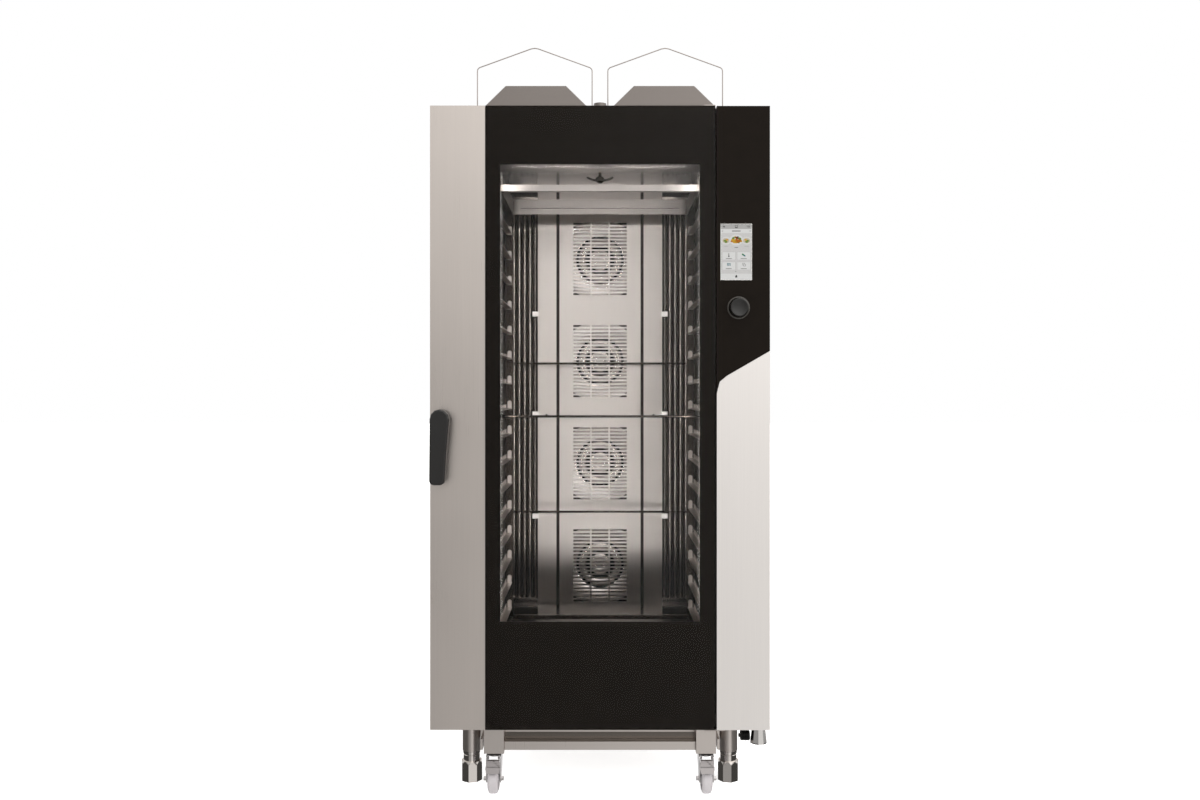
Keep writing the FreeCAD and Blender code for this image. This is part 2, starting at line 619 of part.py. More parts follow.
def door_frame():
    """Four closed bars with the hinge blocks at their right ends."""
    depth = ("hinge_y - 4", "front + door_thick - 6.2")
    low = "window_low - 12"
    high = "window_high + 12"
    edge = "window_half + 12"
    left = hollow("bar_left", ("-half_width + 2", f"-({edge})"), depth, ("door_bottom + 2", "door_top - 2"))
    spindle = rod("spindle_passage", "y", "7 + running_gap", ("handle_x", "handle_z"),
                  ("front", "frame_front"))
    blocks = []
    for end, height in (("low", ("door_bottom + 2", "door_bottom + 34")),
                        ("high", ("door_top - 34", "door_top - 2"))):
        corner = block(f"hinge_block_{end}", ("hinge_x - 12", "door_right - 1.5"), depth, height)
        blocks.append(cut(f"hinge_bush_{end}", corner,
                          [rod(f"hinge_bore_{end}", "z", "hinge_pin_r + running_gap", ("hinge_x", "hinge_y"),
                               ("door_bottom", "door_top"))]))
    across_x = (f"-({edge})", "hinge_x - 12")
    pieces = [cut("bar_left_bored", left, [spindle]),
              hollow("bar_right", (edge, "door_right - 1.5"), depth, (low, high)),
              hollow("bar_low", across_x, depth, ("door_bottom + 2", low)),
              hollow("bar_high", across_x, depth, (high, "door_top - 2")),
              block("edge_low", ("hinge_x - 12", "door_right - 1.5"), ("hinge_y + 20", depth[1]),
                    ("door_bottom + 34", low)),
              block("edge_high", ("hinge_x - 12", "door_right - 1.5"), ("hinge_y + 20", depth[1]),
                    (high, "door_top - 34"))]
    node(group("door_frame", pieces + blocks))
    node(group("door_led_strips", both_sides("led", ("window_half + 2", "window_half + 11"),
                                             ("front + 10", "front + 26"), ("window_low", "window_high"))))


def door_handle():
    """Hanging grip on a round boss; its spindle carries the latch behind the door."""
    reach = ("front - handle_reach", "front - handle_reach + 30")
    grip = prism("grip", "y", [("-462", "handle_low + 8"), ("-454", "handle_low"), ("-428", "handle_low"),
                               ("-420", "handle_low + 8"), ("-415", "960"), ("-407.5", "handle_z"),
                               ("-411", "handle_z + 13"), ("-421", "handle_z + 23"),
                                ("-434", "handle_z + 26.5"),
                               ("-447", "handle_z + 23"), ("-457", "handle_z + 13"),
                                ("-460.5", "handle_z")], reach)
    boss = rod("grip_boss", "y", "26", ("handle_x", "handle_z"), ("front - handle_reach + 30", "front - 0.5"))
    node(group("door_handle", [grip, boss]))
    shaft = rod("spindle", "y", "7", ("handle_x", "handle_z"), ("front - 0.5", "frame_front + 4"))
    cam = rod("cam", "y", "17", ("handle_x", "handle_z"), ("frame_front + 4", "frame_front + 14"))
    node(fuse("door_latch", [shaft, cam]))


# rack -----------------------------------------------------------------------------------------------

def rack_base():
    """Wheeled base: front boxes over the castors, side tubes under the cabinet, cross bars."""
    bore = "swivel_r + running_gap"
    pieces = []
    for side, sign in SIDES.items():
        leg = ("leg_in", "leg_out")
        leg_box = block(f"leg_box_{side}", leg if sign == "" else across(leg),
                        ("leg_front", "leg_front + leg_deep"),
                        ("leg_low", "leg_high"))
        hole = rod(f"leg_bore_{side}", "z", bore, (f"{sign}castor_x", "castor_front"), ("leg_low - 1", "150"))
        pieces.append(cut(f"leg_{side}", leg_box, [hole]))
        beam = ("castor_x - 15", "castor_x + 15")
        pieces.append(hollow(f"beam_{side}", beam if sign == "" else across(beam),
                             ("leg_front + leg_deep", "castor_rear - 30"), ("leg_high - 35", "leg_high")))
        pad = ("castor_x - 27", "castor_x + 27")
        rear = block(f"rear_pad_box_{side}", pad if sign == "" else across(pad),
                     ("castor_rear - 30", "castor_rear + 30"),
                     ("leg_low", "leg_high"))
        hole = rod(f"rear_bore_{side}", "z", bore, (f"{sign}castor_x", "castor_rear"), ("leg_low - 1", "150"))
        pieces.append(cut(f"rear_pad_{side}", rear, [hole]))
    pieces.append(hollow("cross_bar_front", ("-leg_in", "leg_in"), ("leg_front + 14", "-362"),
                         ("116", "139.5")))
    pieces.append(block("cross_bar_top", ("-leg_in", "leg_in"), ("-364", "-362"), ("139.5", "leg_high")))
    pieces.append(hollow("cross_bar_rear", ("-castor_x + 27", "castor_x - 27"),
                         ("castor_rear - 15", "castor_rear + 15"),
                         ("leg_high - 35", "leg_high")))
    node(group("rack_base", pieces))
    node(prism("rack_front_plate", "y", [("-leg_in + 2", "116"), ("leg_in - 2", "116"),
                                         ("leg_in - 2", "leg_high"),
                                         ("300", "leg_high"), ("300", "plate_top"), ("-300", "plate_top"),
                                         ("-300", "leg_high"), ("-leg_in + 2", "leg_high")],
                        ("-362", "-350")))


def rack_frame():
    """Side frames of the tray rack: posts, top bow, ties and the skids they stand on."""
    pieces = []
    for side, sign in SIDES.items():
        def span(low, high):
            return (low, high) if sign == "" else across((low, high))
        pieces.append(block(f"front_post_{side}", span("rail_out + 0.2", "rail_out + 4"), ("-350", "-322"),
                            ("388", "1689")))
        pieces.append(block(f"rear_post_{side}", span("279", "rail_out + 4"),
                            ("rack_rear + 2", "rack_rear + 22"),
                            ("388", "1689")))
        pieces.append(block(f"skid_{side}", span("279", "rail_out + 0.1"), ("-350", "rack_rear + 2"),
                            ("388", "398")))
        pieces.append(block(f"bow_side_{side}", span("279", "rail_out + 4"), ("-322", "rack_rear + 22"),
                            ("1690", "rack_top")))
        pieces.append(rod(f"bow_leg_{side}", "z", "9", (f"{sign}293", "-340"), ("1699", "1719")))
    pieces.append(block("bow_front", ("-284", "284"), ("-358.5", "-340.5"), ("1689", "1707")))
    pieces.append(block("bow_rear", ("-279", "279"), ("rack_rear + 4", "rack_rear + 8"),
                        ("1690", "rack_top")))
    pieces.append(block("foot_bar", ("-279", "279"), ("rack_rear + 4", "rack_rear + 16"), ("388", "400")))
    pieces.append(rod("front_tie", "x", "3.5", ("-341", "1050"), ("-(rail_out + 0.2)", "rail_out + 0.2")))
    for index, level in enumerate(("732", "1210")):
        pieces.append(rod(f"rear_tie_{index}", "x", "3.5", ("rack_rear + 12", level), ("-279", "279")))
    node(group("rack_frame", pieces))


def rack_rails():
    """Sixteen pairs of L rails that the trays slide on, with upturned stops at the rear."""
    pieces = []
    for level in range(int(number("rail_levels"))):
        low = f"rail_low + {level} * rail_pitch"
        for side, sign in SIDES.items():
            flange = ("rail_in", "rail_out")
            shelf = block(f"shelf_{side}_{level}", flange if sign == "" else across(flange),
                          ("rack_front", "rack_rear"),
                          (low, f"{low} + rail_sheet"))
            web = ("rail_out - rail_sheet", "rail_out")
            upright = block(f"web_{side}_{level}", web if sign == "" else across(web),
                            ("rack_front", "rack_rear"),
                            (f"{low} + rail_sheet", f"{low} + 14"))
            pieces += [shelf, upright]
    node(group("rack_rails", pieces))


def castors():
    """Swivel castors with ball-race heads; the two front ones have brake pedals."""
    for side, sign in SIDES.items():
        for end in ("front", "rear"):
            name = f"{end}_{side}"
            swivel = (f"{sign}castor_x", f"castor_{end}")
            axle_y = f"castor_{end} - castor_trail"
            head = turned(f"head_{name}", [("0", "96"), ("24", "96"), ("27", "99"), ("27", "105"),
                                           ("22", "leg_low - 0.5"),
                                           ("swivel_r", "leg_low - 0.5"), ("swivel_r", "140"), ("0", "140")],
                          swivel + ("0",))
            crown = block(f"crown_{name}", (f"{swivel[0]} - fork_half", f"{swivel[0]} + fork_half"),
                          (f"{swivel[1]} - 40", f"{swivel[1]} + 20"), ("92.5", "96"))
            axle = rod(f"axle_{name}", "x", "axle_r", (axle_y, "wheel_r"),
                       (f"{swivel[0]} - fork_half - 2", f"{swivel[0]} + fork_half + 2"))
            plates = []
            for hand, lean in (("a", "-"), ("b", "+")):
                near = f"{swivel[0]} {lean} (fork_half - 3)"
                far = f"{swivel[0]} {lean} fork_half"
                span = (far, near) if lean == "-" else (near, far)
                cheek = prism(f"cheek_{name}_{hand}", "x",
                              [(f"{axle_y} - 12", "wheel_r - 12"), (f"{axle_y} + 12", "wheel_r - 12"),
                               (f"{swivel[1]} + 20", "84"), (f"{swivel[1]} + 20", "92.5"),
                               (f"{swivel[1]} - 40", "92.5"), (f"{axle_y} - 14", "wheel_r + 10")], span)
                plates.append(cut(f"cheek_bored_{name}_{hand}", cheek,
                                  [rod(f"cheek_bore_{name}_{hand}", "x", "axle_r", (axle_y, "wheel_r"),
                                       (f"{swivel[0]} - 30", f"{swivel[0]} + 30"))]))
            ears = []
            if end == "front":
                for hand, near, far in (("a", "-20", "-17.3"), ("b", "17.3", "20")):
                    ear = block(f"ear_{name}_{hand}", (f"{swivel[0]} + {near}", f"{swivel[0]} + {far}"),
                                (f"{swivel[1]} - 41", f"{swivel[1]} - 31"), ("96", "106"))
                    hole = rod(f"ear_bore_{name}_{hand}", "x", "4 + running_gap",
                               (f"{swivel[1]} - 36", "100.5"),
                               (f"{swivel[0]} - 30", f"{swivel[0]} + 30"))
                    ears.append(cut(f"ear_bored_{name}_{hand}", ear, [hole]))
            node(group(f"castor_fork_{name}", [head, crown, axle] + plates + ears))
            half = "wheel_wide / 2"
            node(turned(f"castor_wheel_{name}",
                        [("axle_r + running_gap", f"-({half}) - 1"), ("12", f"-({half}) - 1"), ("12", "-8"),
                         ("28", "-8"),
                         ("30", f"-({half})"), ("wheel_r - 2", f"-({half}) + 3"), ("wheel_r", "-7"),
                          ("wheel_r", "7"),
                         ("wheel_r - 2", f"{half} - 3"), ("30", half), ("28", "8"), ("12", "8"),
                          ("12", f"{half} + 1"),
                         ("axle_r + running_gap", f"{half} + 1")],
                        (swivel[0], axle_y, "wheel_r"), AXIS_TURNS["x"]))
            if end == "front":
                node(brake_pedal(f"brake_pedal_{side}", swivel))


def brake_pedal(name, swivel):
    """Sheet pedal hinged on a cross pin in front of the swivel head."""
    tread = prism(name + "_tread", "x", [(f"{swivel[1]} - 41", "100"), (f"{swivel[1]} - 36", "104"),
                                         (f"{swivel[1]} - 58", "90"), (f"{swivel[1]} - 60", "86")],
                  (f"{swivel[0]} - 17", f"{swivel[0]} + 17"))
    pin = rod(name + "_pin", "x", "4", (f"{swivel[1]} - 36", "100.5"),
              (f"{swivel[0]} - 20", f"{swivel[0]} + 20"))
    return fuse(name, [tread, pin])


def feet():
    """Adjustable feet: octagonal flange, neck and a stem that screws into the sleeve."""
    for side, sign in SIDES.items():
        for end in ("front", "rear"):
            name = f"foot_{end}_{side}"
            at = (f"{sign}foot_x", f"foot_{end}")
            flange = doc.addObject("Part::Prism", name + "_flange")
            flange.Polygon = 8
            flange.setExpression("Circumradius", formula("foot_r"))
            flange.setExpression("Height", formula("foot_high"))
            place(flange, at + ("0",), Rotation(Vector(0, 0, 1), -10 if sign else 10))
            cone = turned(name + "_cone", [("0", "-1"), ("foot_r + 1", "-1"), ("foot_r + 1", "foot_high - 6"),
                                           ("neck_r", "foot_high + 1"), ("0", "foot_high + 1")], at + ("0",))
            bevelled = doc.addObject("Part::Common", name + "_bevelled")
            bevelled.Base = flange
            bevelled.Tool = cone
            neck = rod(name + "_neck", "z", "neck_r", at, ("foot_high", "collar_z"))
            stem = rod(name + "_stem", "z", "stem_r", at, ("collar_z", "bottom - 8"))
            node(fuse(name, [bevelled, neck, stem]))



for build in (side_panels, top_panel, rear_panel, base_chassis, front_frame, control_column, control_board,
              control_knob, cavity_liner, door_seal, insulation, air_baffle, baffle_clips, heat_exchangers,
              gas_burners, fan_motors, fan_wheels, spray_arm, flues, rear_connections, hand_shower,
              hinge_brackets, door_panes, door_frame, door_handle, rack_base, rack_frame, rack_rails,
              castors, feet):
    build()

doc.recompute()
failed = [entry.Name for entry in doc.Objects if "Invalid" in entry.State or "Error" in entry.State]
if failed:
    raise RuntimeError("objects that failed: " + ", ".join(failed))
for piece in nodes:
    if piece.Shape.isNull() or not piece.Shape.isValid() or not piece.Shape.Solids:
        raise RuntimeError("bad shape: " + piece.Label)

os.makedirs("parts", exist_ok=True)
for piece in nodes:
    piece.Shape.exportStep(f"parts/{piece.Label}.step")
print(len(nodes), "sub-parts")
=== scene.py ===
"""Looks of the roll-in combi steamer oven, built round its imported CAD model.

Metres. The frame is the CAD's: X to the control column, Y into the cavity, Z up. The sections follow
the oven as it is put together. Each holds one piece or group of like pieces, with its finish.
"""
import math

import bmesh
import bpy
from mathutils import Matrix, Vector


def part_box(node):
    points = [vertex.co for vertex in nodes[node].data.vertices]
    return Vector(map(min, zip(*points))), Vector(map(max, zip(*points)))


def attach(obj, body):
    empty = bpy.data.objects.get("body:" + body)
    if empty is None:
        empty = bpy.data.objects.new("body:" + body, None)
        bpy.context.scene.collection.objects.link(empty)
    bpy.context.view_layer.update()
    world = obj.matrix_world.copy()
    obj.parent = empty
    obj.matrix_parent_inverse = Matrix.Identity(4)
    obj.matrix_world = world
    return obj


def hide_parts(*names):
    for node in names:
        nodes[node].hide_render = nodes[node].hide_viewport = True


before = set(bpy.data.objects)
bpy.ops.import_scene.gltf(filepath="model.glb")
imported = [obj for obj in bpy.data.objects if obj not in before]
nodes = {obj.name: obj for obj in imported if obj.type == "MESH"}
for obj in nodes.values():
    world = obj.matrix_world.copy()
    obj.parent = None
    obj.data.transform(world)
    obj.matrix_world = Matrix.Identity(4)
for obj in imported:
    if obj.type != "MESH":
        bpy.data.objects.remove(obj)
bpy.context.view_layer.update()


# Studio -----------------------------------------------------------------------------------------
# White paper floor and background, a wide soft light overhead and one at each side. The camera is at
# chest height, straight in front of the door.

camera_height = 1.131
camera_distance = 2.890
door_face_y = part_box("door_outer_glass")[0][1]
camera_data = bpy.data.cameras.new("camera")
camera_data.sensor_width = 36
camera_data.lens = 31.46
camera_data.shift_y = -0.01
camera = bpy.data.objects.new("camera", camera_data)
camera.location = (0, door_face_y - camera_distance, camera_height)
camera.rotation_euler = (math.pi / 2, 0, 0)
bpy.context.collection.objects.link(camera)
bpy.context.scene.camera = camera
bpy.context.scene.view_settings.view_transform = "Standard"


def to_linear(code):
    """Linear colour of an sRGB hex value."""
    parts = [int(code[digit:digit + 2], 16) / 255 for digit in (1, 3, 5)]
    linear = [part / 12.92 if part <= 0.04045 else ((part + 0.055) / 1.055) ** 2.4 for part in parts]
    return (*linear, 1)


def add_node(tree, kind, settings=(), links=()):
    """Node of that kind with its settings and its incoming links."""
    node = tree.nodes.new(kind)
    for name, setting in dict(settings).items():
        if isinstance(name, int) or name in node.inputs.keys():
            node.inputs[name].default_value = setting
        else:
            setattr(node, name, setting)
    for name, source in dict(links).items():
        tree.links.new(source, node.inputs[name])
    return node


# The room that metal and glass mirror: a bright ceiling, greyer at the height of the walls and to the
# left, white behind the oven, and low dark corners at both sides. The backdrop itself is plain white.
studio = bpy.data.worlds.new("studio")
bpy.context.scene.world = studio
studio.use_nodes = True
tree = studio.node_tree
tree.nodes.clear()
place = add_node(tree, "ShaderNodeTexCoord")
axes = add_node(tree, "ShaderNodeSeparateXYZ", links={0: place.outputs["Generated"]})
height = add_node(tree, "ShaderNodeMapRange", {"From Min": -1.0, "From Max": 1.0},
                  {"Value": axes.outputs["Z"]})
room = add_node(tree, "ShaderNodeValToRGB", links={"Fac": height.outputs["Result"]})
for position, grey in ((0.30, 0.56), (0.42, 0.50), (0.50, 0.56), (0.625, 1.00), (0.725, 1.42)):
    stop = room.color_ramp.elements.new(position)
    stop.color = (grey, grey * 0.985, grey * 0.965, 1)
room.color_ramp.elements.remove(room.color_ramp.elements[0])
room.color_ramp.elements.remove(room.color_ramp.elements[-1])
across = add_node(tree, "ShaderNodeMapRange",
                  {"From Min": -0.13, "From Max": 0.10, "To Min": 0.74, "To Max": 1.63},
                  {"Value": axes.outputs["X"]})
lit = add_node(tree, "ShaderNodeVectorMath", {"operation": "SCALE"},
               {0: room.outputs["Color"], "Scale": across.outputs["Result"]})
behind = add_node(tree, "ShaderNodeMapRange", {"From Min": -0.10, "From Max": 0.25},
                  {"Value": axes.outputs["Y"]})
sweep = add_node(tree, "ShaderNodeMix", {"data_type": "RGBA", 7: (1.0, 1.0, 1.0, 1)},
                 {0: behind.outputs["Result"], 6: lit.outputs[0]})
beside = add_node(tree, "ShaderNodeMath", {"operation": "ABSOLUTE"}, {0: axes.outputs["X"]})
flank = add_node(tree, "ShaderNodeMapRange", {"From Min": 0.45, "From Max": 0.60},
                 {"Value": beside.outputs[0]})
low = add_node(tree, "ShaderNodeMapRange", {"From Min": -0.10, "From Max": -0.22},
               {"Value": axes.outputs["Z"]})
unlit = add_node(tree, "ShaderNodeMath", {"operation": "MULTIPLY"},
                 {0: flank.outputs["Result"], 1: low.outputs["Result"]})
edges = add_node(tree, "ShaderNodeMix", {"data_type": "RGBA", 7: (0.07, 0.068, 0.065, 1)},
                 {0: unlit.outputs[0], 6: sweep.outputs[2]})
path = add_node(tree, "ShaderNodeLightPath")
seen = add_node(tree, "ShaderNodeMix", {"data_type": "RGBA", 7: (1.0, 1.0, 1.0, 1)},
                {0: path.outputs["Is Camera Ray"], 6: edges.outputs[2]})
glow = add_node(tree, "ShaderNodeBackground", links={"Color": seen.outputs[2]})
add_node(tree, "ShaderNodeOutputWorld", links={"Surface": glow.outputs[0]})

for name, power, size, spot, turn in (
        ("light_top", 70, (3.0, 2.0), (0, -1.2, 3.6), (-15, 0, 0)),
        ("light_right", 30, (1.2, 2.2), (2.6, -2.0, 1.6), (85, 0, 52)),
        ("light_left", 18, (1.2, 2.2), (-2.6, -2.0, 1.6), (85, 0, -52))):
    lamp = bpy.data.lights.new(name, "AREA")
    lamp.energy = power
    lamp.shape = "RECTANGLE"
    lamp.size, lamp.size_y = size
    light = bpy.data.objects.new(name, lamp)
    light.location = spot
    light.rotation_euler = [math.radians(angle) for angle in turn]
    light.visible_glossy = False
    bpy.context.collection.objects.link(light)

floor_form = bmesh.new()
bmesh.ops.create_grid(floor_form, x_segments=1, y_segments=1, size=30)
floor_mesh = bpy.data.meshes.new("studio_floor")
floor_form.to_mesh(floor_mesh)
floor_form.free()
floor = bpy.data.objects.new("studio_floor", floor_mesh)
floor.visible_glossy = False
bpy.context.collection.objects.link(floor)
# Matt paper scatters all the light, so the floor is an even white with a faint shadow under the feet.
paper = bpy.data.materials.new("matt_white_paper")
paper.use_nodes = True
shader = paper.node_tree.nodes["Principled BSDF"]
shader.inputs["Base Color"].default_value = to_linear("#F4F4F4")
shader.inputs["Roughness"].default_value = 0.9
shader.inputs["Emission Color"].default_value = (1, 1, 1, 1)
shader.inputs["Emission Strength"].default_value = 0.7
floor_mesh.materials.append(paper)


# Cabinet shell -----------------------------------------------------------------------------------
# Side, top and rear panels of 1.5 mm stainless sheet, folded and spot welded. The rear panel comes
# off for service, so it is screwed all round. A blank rating plate is riveted to it.

MM = 0.001


def steel(name, colour, roughness, upright=True, grain=0.0012, run=0.30, marks=0.03, anisotropic=0.0):
    """Ground metal: a scratch is grain wide and run long, in metres. A real one is about 0.05 mm wide,
    too fine to show, so it is drawn coarser. Marks is how far the gloss wanders."""
    material = bpy.data.materials.new(name)
    material.use_nodes = True
    tree = material.node_tree
    shader = tree.nodes["Principled BSDF"]
    shader.inputs["Metallic"].default_value = 1.0
    shader.inputs["Anisotropic"].default_value = anisotropic
    place = add_node(tree, "ShaderNodeTexCoord")
    along = (1 / grain, 1 / grain, 1 / run) if upright else (1 / run, 1 / run, 1 / grain)
    stretch = add_node(tree, "ShaderNodeMapping", {"Scale": along}, {"Vector": place.outputs["Object"]})
    lines = add_node(tree, "ShaderNodeTexNoise", {"Scale": 1.0, "Detail": 3.0, "Roughness": 0.65},
                     {"Vector": stretch.outputs["Vector"]})
    smears = add_node(tree, "ShaderNodeTexNoise", {"Scale": 4.0, "Detail": 3.0, "Distortion": 0.4},
                      {"Vector": place.outputs["Object"]})
    wear = add_node(tree, "ShaderNodeMath", {"operation": "ADD"},
                    {0: lines.outputs["Fac"], 1: smears.outputs["Fac"]})
    span = {"From Min": 0.7, "From Max": 1.3, "To Min": roughness - marks, "To Max": roughness + marks}
    gloss = add_node(tree, "ShaderNodeMapRange", span, {"Value": wear.outputs[0]})
    light = to_linear(colour)
    dark = tuple(part * 0.97 for part in light[:3]) + (1,)
    shade = add_node(tree, "ShaderNodeMapRange", {"From Min": 0.35, "From Max": 0.65},
                     {"Value": lines.outputs["Fac"]})
    tone = add_node(tree, "ShaderNodeMix", {"data_type": "RGBA", 6: dark, 7: light},
                    {0: shade.outputs["Result"]})
    scratch = add_node(tree, "ShaderNodeBump", {"Strength": 0.02, "Distance": 0.0003},
                       {"Height": lines.outputs["Fac"]})
    tree.links.new(tone.outputs[2], shader.inputs["Base Color"])
    tree.links.new(gloss.outputs["Result"], shader.inputs["Roughness"])
    tree.links.new(scratch.outputs["Normal"], shader.inputs["Normal"])
    if anisotropic:
        tangent = add_node(tree, "ShaderNodeTangent", {"direction_type": "RADIAL", "axis": "Z"})
        tree.links.new(tangent.outputs["Tangent"], shader.inputs["Tangent"])
    return material


def finish_nodes(material, *names):
    """Give CAD nodes a finish."""
    for name in names:
        mesh = nodes[name].data
        mesh.materials.clear()
        mesh.materials.append(material)


def ease_edges(width, *names):
    """Break the sharp edges of CAD nodes, as bending and deburring do."""
    for name in names:
        weld = nodes[name].modifiers.new("weld", "WELD")
        weld.merge_threshold = 0.00001
        flats = nodes[name].modifiers.new("flats", "DECIMATE")
        flats.decimate_type = "DISSOLVE"
        flats.angle_limit = math.radians(0.5)
        bevel = nodes[name].modifiers.new("edges", "BEVEL")
        bevel.width = width
        bevel.segments = 2
        bevel.limit_method = "ANGLE"
        bevel.angle_limit = math.radians(40)
        bevel.harden_normals = True


def block(form, low, high):
    """Box between two corners, in a bmesh; returns its corners."""
    middle = (Vector(low) + Vector(high)) / 2
    sizes = Vector(high) - Vector(low)
    fitted = Matrix.Translation(middle) @ Matrix.Diagonal((*sizes, 1))
    return bmesh.ops.create_cube(form, size=1, matrix=fitted)["verts"]


def lathe(form, profile, centre, axis, steps=48):
    """Turned shape in a bmesh: (radius, height) points spun round an axis through the centre."""
    axis = Vector(axis)
    side = axis.orthogonal().normalized()
    points = [form.verts.new(Vector(centre) + side * radius + axis * height) for radius, height in profile]
    edges = [form.edges.new(pair) for pair in zip(points, points[1:])]
    bmesh.ops.spin(form, geom=points + edges, cent=centre, axis=axis, angle=math.tau, steps=steps,
                   use_merge=True)


def round_edges(form, edges, width, segments=2):
    """Bevel those edges of a bmesh."""
    bmesh.ops.bevel(form, geom=list(edges), offset=width, segments=segments, profile=0.5, affect="EDGES",
                    material=-1)


def piece(form, name, body, slot, *finishes, replaced=(), crease=35):
    """Object from a bmesh, riding on a body, smooth where faces meet at less than the crease."""
    bmesh.ops.remove_doubles(form, verts=form.verts, dist=0.000004)
    bmesh.ops.recalc_face_normals(form, faces=form.faces)
    for face in form.faces:
        face.smooth = True
    for edge in form.edges:
        edge.smooth = len(edge.link_faces) == 2 and edge.calc_face_angle() < math.radians(crease)
    mesh = bpy.data.meshes.new(name)
    form.to_mesh(mesh)
    form.free()
    for material in finishes:
        mesh.materials.append(material)
    made = bpy.data.objects.new(name, mesh)
    bpy.context.collection.objects.link(made)
    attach(made, body)
    if replaced:
        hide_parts(*replaced)
    return made


# Belt-ground upright, so it shows a soft pale mirror with fine vertical lines.
satin_sheet = steel("satin_ground_stainless", "#D6CFCA", 0.33)
finish_nodes(satin_sheet, "side_panel_left", "side_panel_right", "top_panel", "rear_panel")

# Flaked zinc has no lines: an even, slightly dull grey.
screw_steel = steel("zinc_flaked_screw_steel", "#B8B2AC", 0.30, grain=0.0005, run=0.0005)
rear_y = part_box("rear_panel")[1][1]
side_screw_x, lowest_side_screw, side_screw_gap = 0.455, 0.215, 0.184
first_end_screw_x, end_screw_gap = -0.30, 0.12
bottom_screw_z, top_screw_z = 0.205, 1.893
screw_spots = [(side * side_screw_x, lowest_side_screw + side_screw_gap * row)
               for side in (-1, 1) for row in range(10)]
screw_spots += [(first_end_screw_x + end_screw_gap * column, level)
                for column in range(6) for level in (bottom_screw_z, top_screw_z)]
screw_head = [(0, 0.9 * MM), (1.7 * MM, 0.9 * MM), (1.7 * MM, 2.3 * MM), (3.3 * MM, 2.0 * MM), (4.2 * MM, 0)]
screws = bmesh.new()
for x, z in screw_spots:
    lathe(screws, screw_head, (x, rear_y, z), (0, 1, 0), steps=12)
piece(screws, "rear_panel_screws", "oven", "bright_steel", screw_steel)

plate_left, plate_right, plate_bottom, plate_top = 0.285, 0.405, 0.72, 0.80
plate_thick = 0.8 * MM
rivet_inset = 7 * MM
plate = bmesh.new()
block(plate, (plate_left, rear_y, plate_bottom), (plate_right, rear_y + plate_thick, plate_top))
upright_edges = [edge for edge in plate.edges
                 if abs(edge.verts[0].co.y - edge.verts[1].co.y) > plate_thick / 2]
round_edges(plate, upright_edges, 3 * MM)
rivet_head = [(0, 2.0 * MM), (1.3 * MM, 1.7 * MM), (2.2 * MM, plate_thick)]
for x in (plate_left + rivet_inset, plate_right - rivet_inset):
    for z in (plate_bottom + rivet_inset, plate_top - rivet_inset):
        lathe(plate, rivet_head, (x, rear_y, z), (0, 1, 0), steps=16)
# Anodised aluminium is cooler and duller than the sheet round it.
piece(plate, "blank_rating_plate", "oven", "bright_steel",
      steel("anodised_aluminium_plate", "#C9CBCC", 0.36, upright=False, grain=0.0008, run=0.05))


# Cavity ------------------------------------------------------------------------------------------
# Welded box of stainless sheet behind a front frame. The air baffle hangs in front of the fans on
# clips, held by two screws, and the heat exchangers are bent tubes at both sides of the fans.

# Bright annealed and rolled upright: it mirrors along the grain and blurs across it.
bright_liner = steel("bright_annealed_stainless", "#B9B1AC", 0.30, grain=0.0020, run=0.5, anisotropic=0.85)
# Brushed paler, so the slotted plates glow between the dark fan openings.
baffle_sheet = steel("brushed_baffle_stainless", "#E8E1DC", 0.38, grain=0.0016, run=0.5, marks=0.02,
                     anisotropic=1.0)
# Drawn tube is smooth and fairly dark, with one bright line along each bend.
drawn_tube = steel("drawn_stainless_tube", "#A39B96", 0.16, grain=0.0008, run=0.15)
finish_nodes(bright_liner, "front_frame")
finish_nodes(baffle_sheet, "air_baffle")
finish_nodes(drawn_tube, "heat_exchangers", "drain_pipe")
finish_nodes(steel("bright_clip_stainless", "#F0ECE9", 0.30), "baffle_clips")
ease_edges(0.001, "baffle_clips")
baffle_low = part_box("air_baffle")[0]
screw_x, screw_z = 0.178, 1.0405
lip_x, lip_half = 0.170, 30 * MM
fixings = bmesh.new()
lips = bmesh.new()
for side in (-1, 1):
    lathe(fixings, [(0, 5 * MM), (3.0 * MM, 4.6 * MM), (4.0 * MM, 3 * MM), (4.0 * MM, 0), (0, 0)],
          (side * screw_x, baffle_low[1], screw_z), (0, -1, 0), steps=20)
    block(lips, (side * lip_x - lip_half, baffle_low[1] - 3 * MM, baffle_low[2] + 1 * MM),
          (side * lip_x + lip_half, baffle_low[1] - 0.2 * MM, baffle_low[2] + 6 * MM))
# Oxide leaves the screws brown-black; the folded lips are pale, with a blurred shine.
piece(fixings, "baffle_screws", "oven", "bright_steel", steel("dark_oxide_screw", "#3A3430", 0.40))
piece(lips, "baffle_foot_lips", "oven", "bright_steel", steel("hemmed_stainless_lip", "#F0ECE9", 0.50))

# The liner's walls are coloured dark brown as painted shade. Its roof is painted pale as a painted
# reflection, and is smoother, so it mirrors more.
wall_top, roof_sheet = 1.786, 1.789
liner_painted_shade_and_reflection = steel("liner_stainless_painted_shade_and_reflection", "#564F49", 0.30, grain=0.0020, run=0.5)
tree = liner_painted_shade_and_reflection.node_tree
shader = tree.nodes["Principled BSDF"]
wall_painted_shade = shader.inputs["Base Color"].links[0].from_socket
wall_gloss = shader.inputs["Roughness"].links[0].from_socket
place = add_node(tree, "ShaderNodeTexCoord")
axes = add_node(tree, "ShaderNodeSeparateXYZ", links={0: place.outputs["Object"]})
roof = add_node(tree, "ShaderNodeMapRange", {"From Min": wall_top, "From Max": roof_sheet},
                {"Value": axes.outputs["Z"]})
polish = add_node(tree, "ShaderNodeMix", {"data_type": "FLOAT", 3: 0.11},
                  {0: roof.outputs["Result"], 2: wall_gloss})
tree.links.new(polish.outputs[0], shader.inputs["Roughness"])
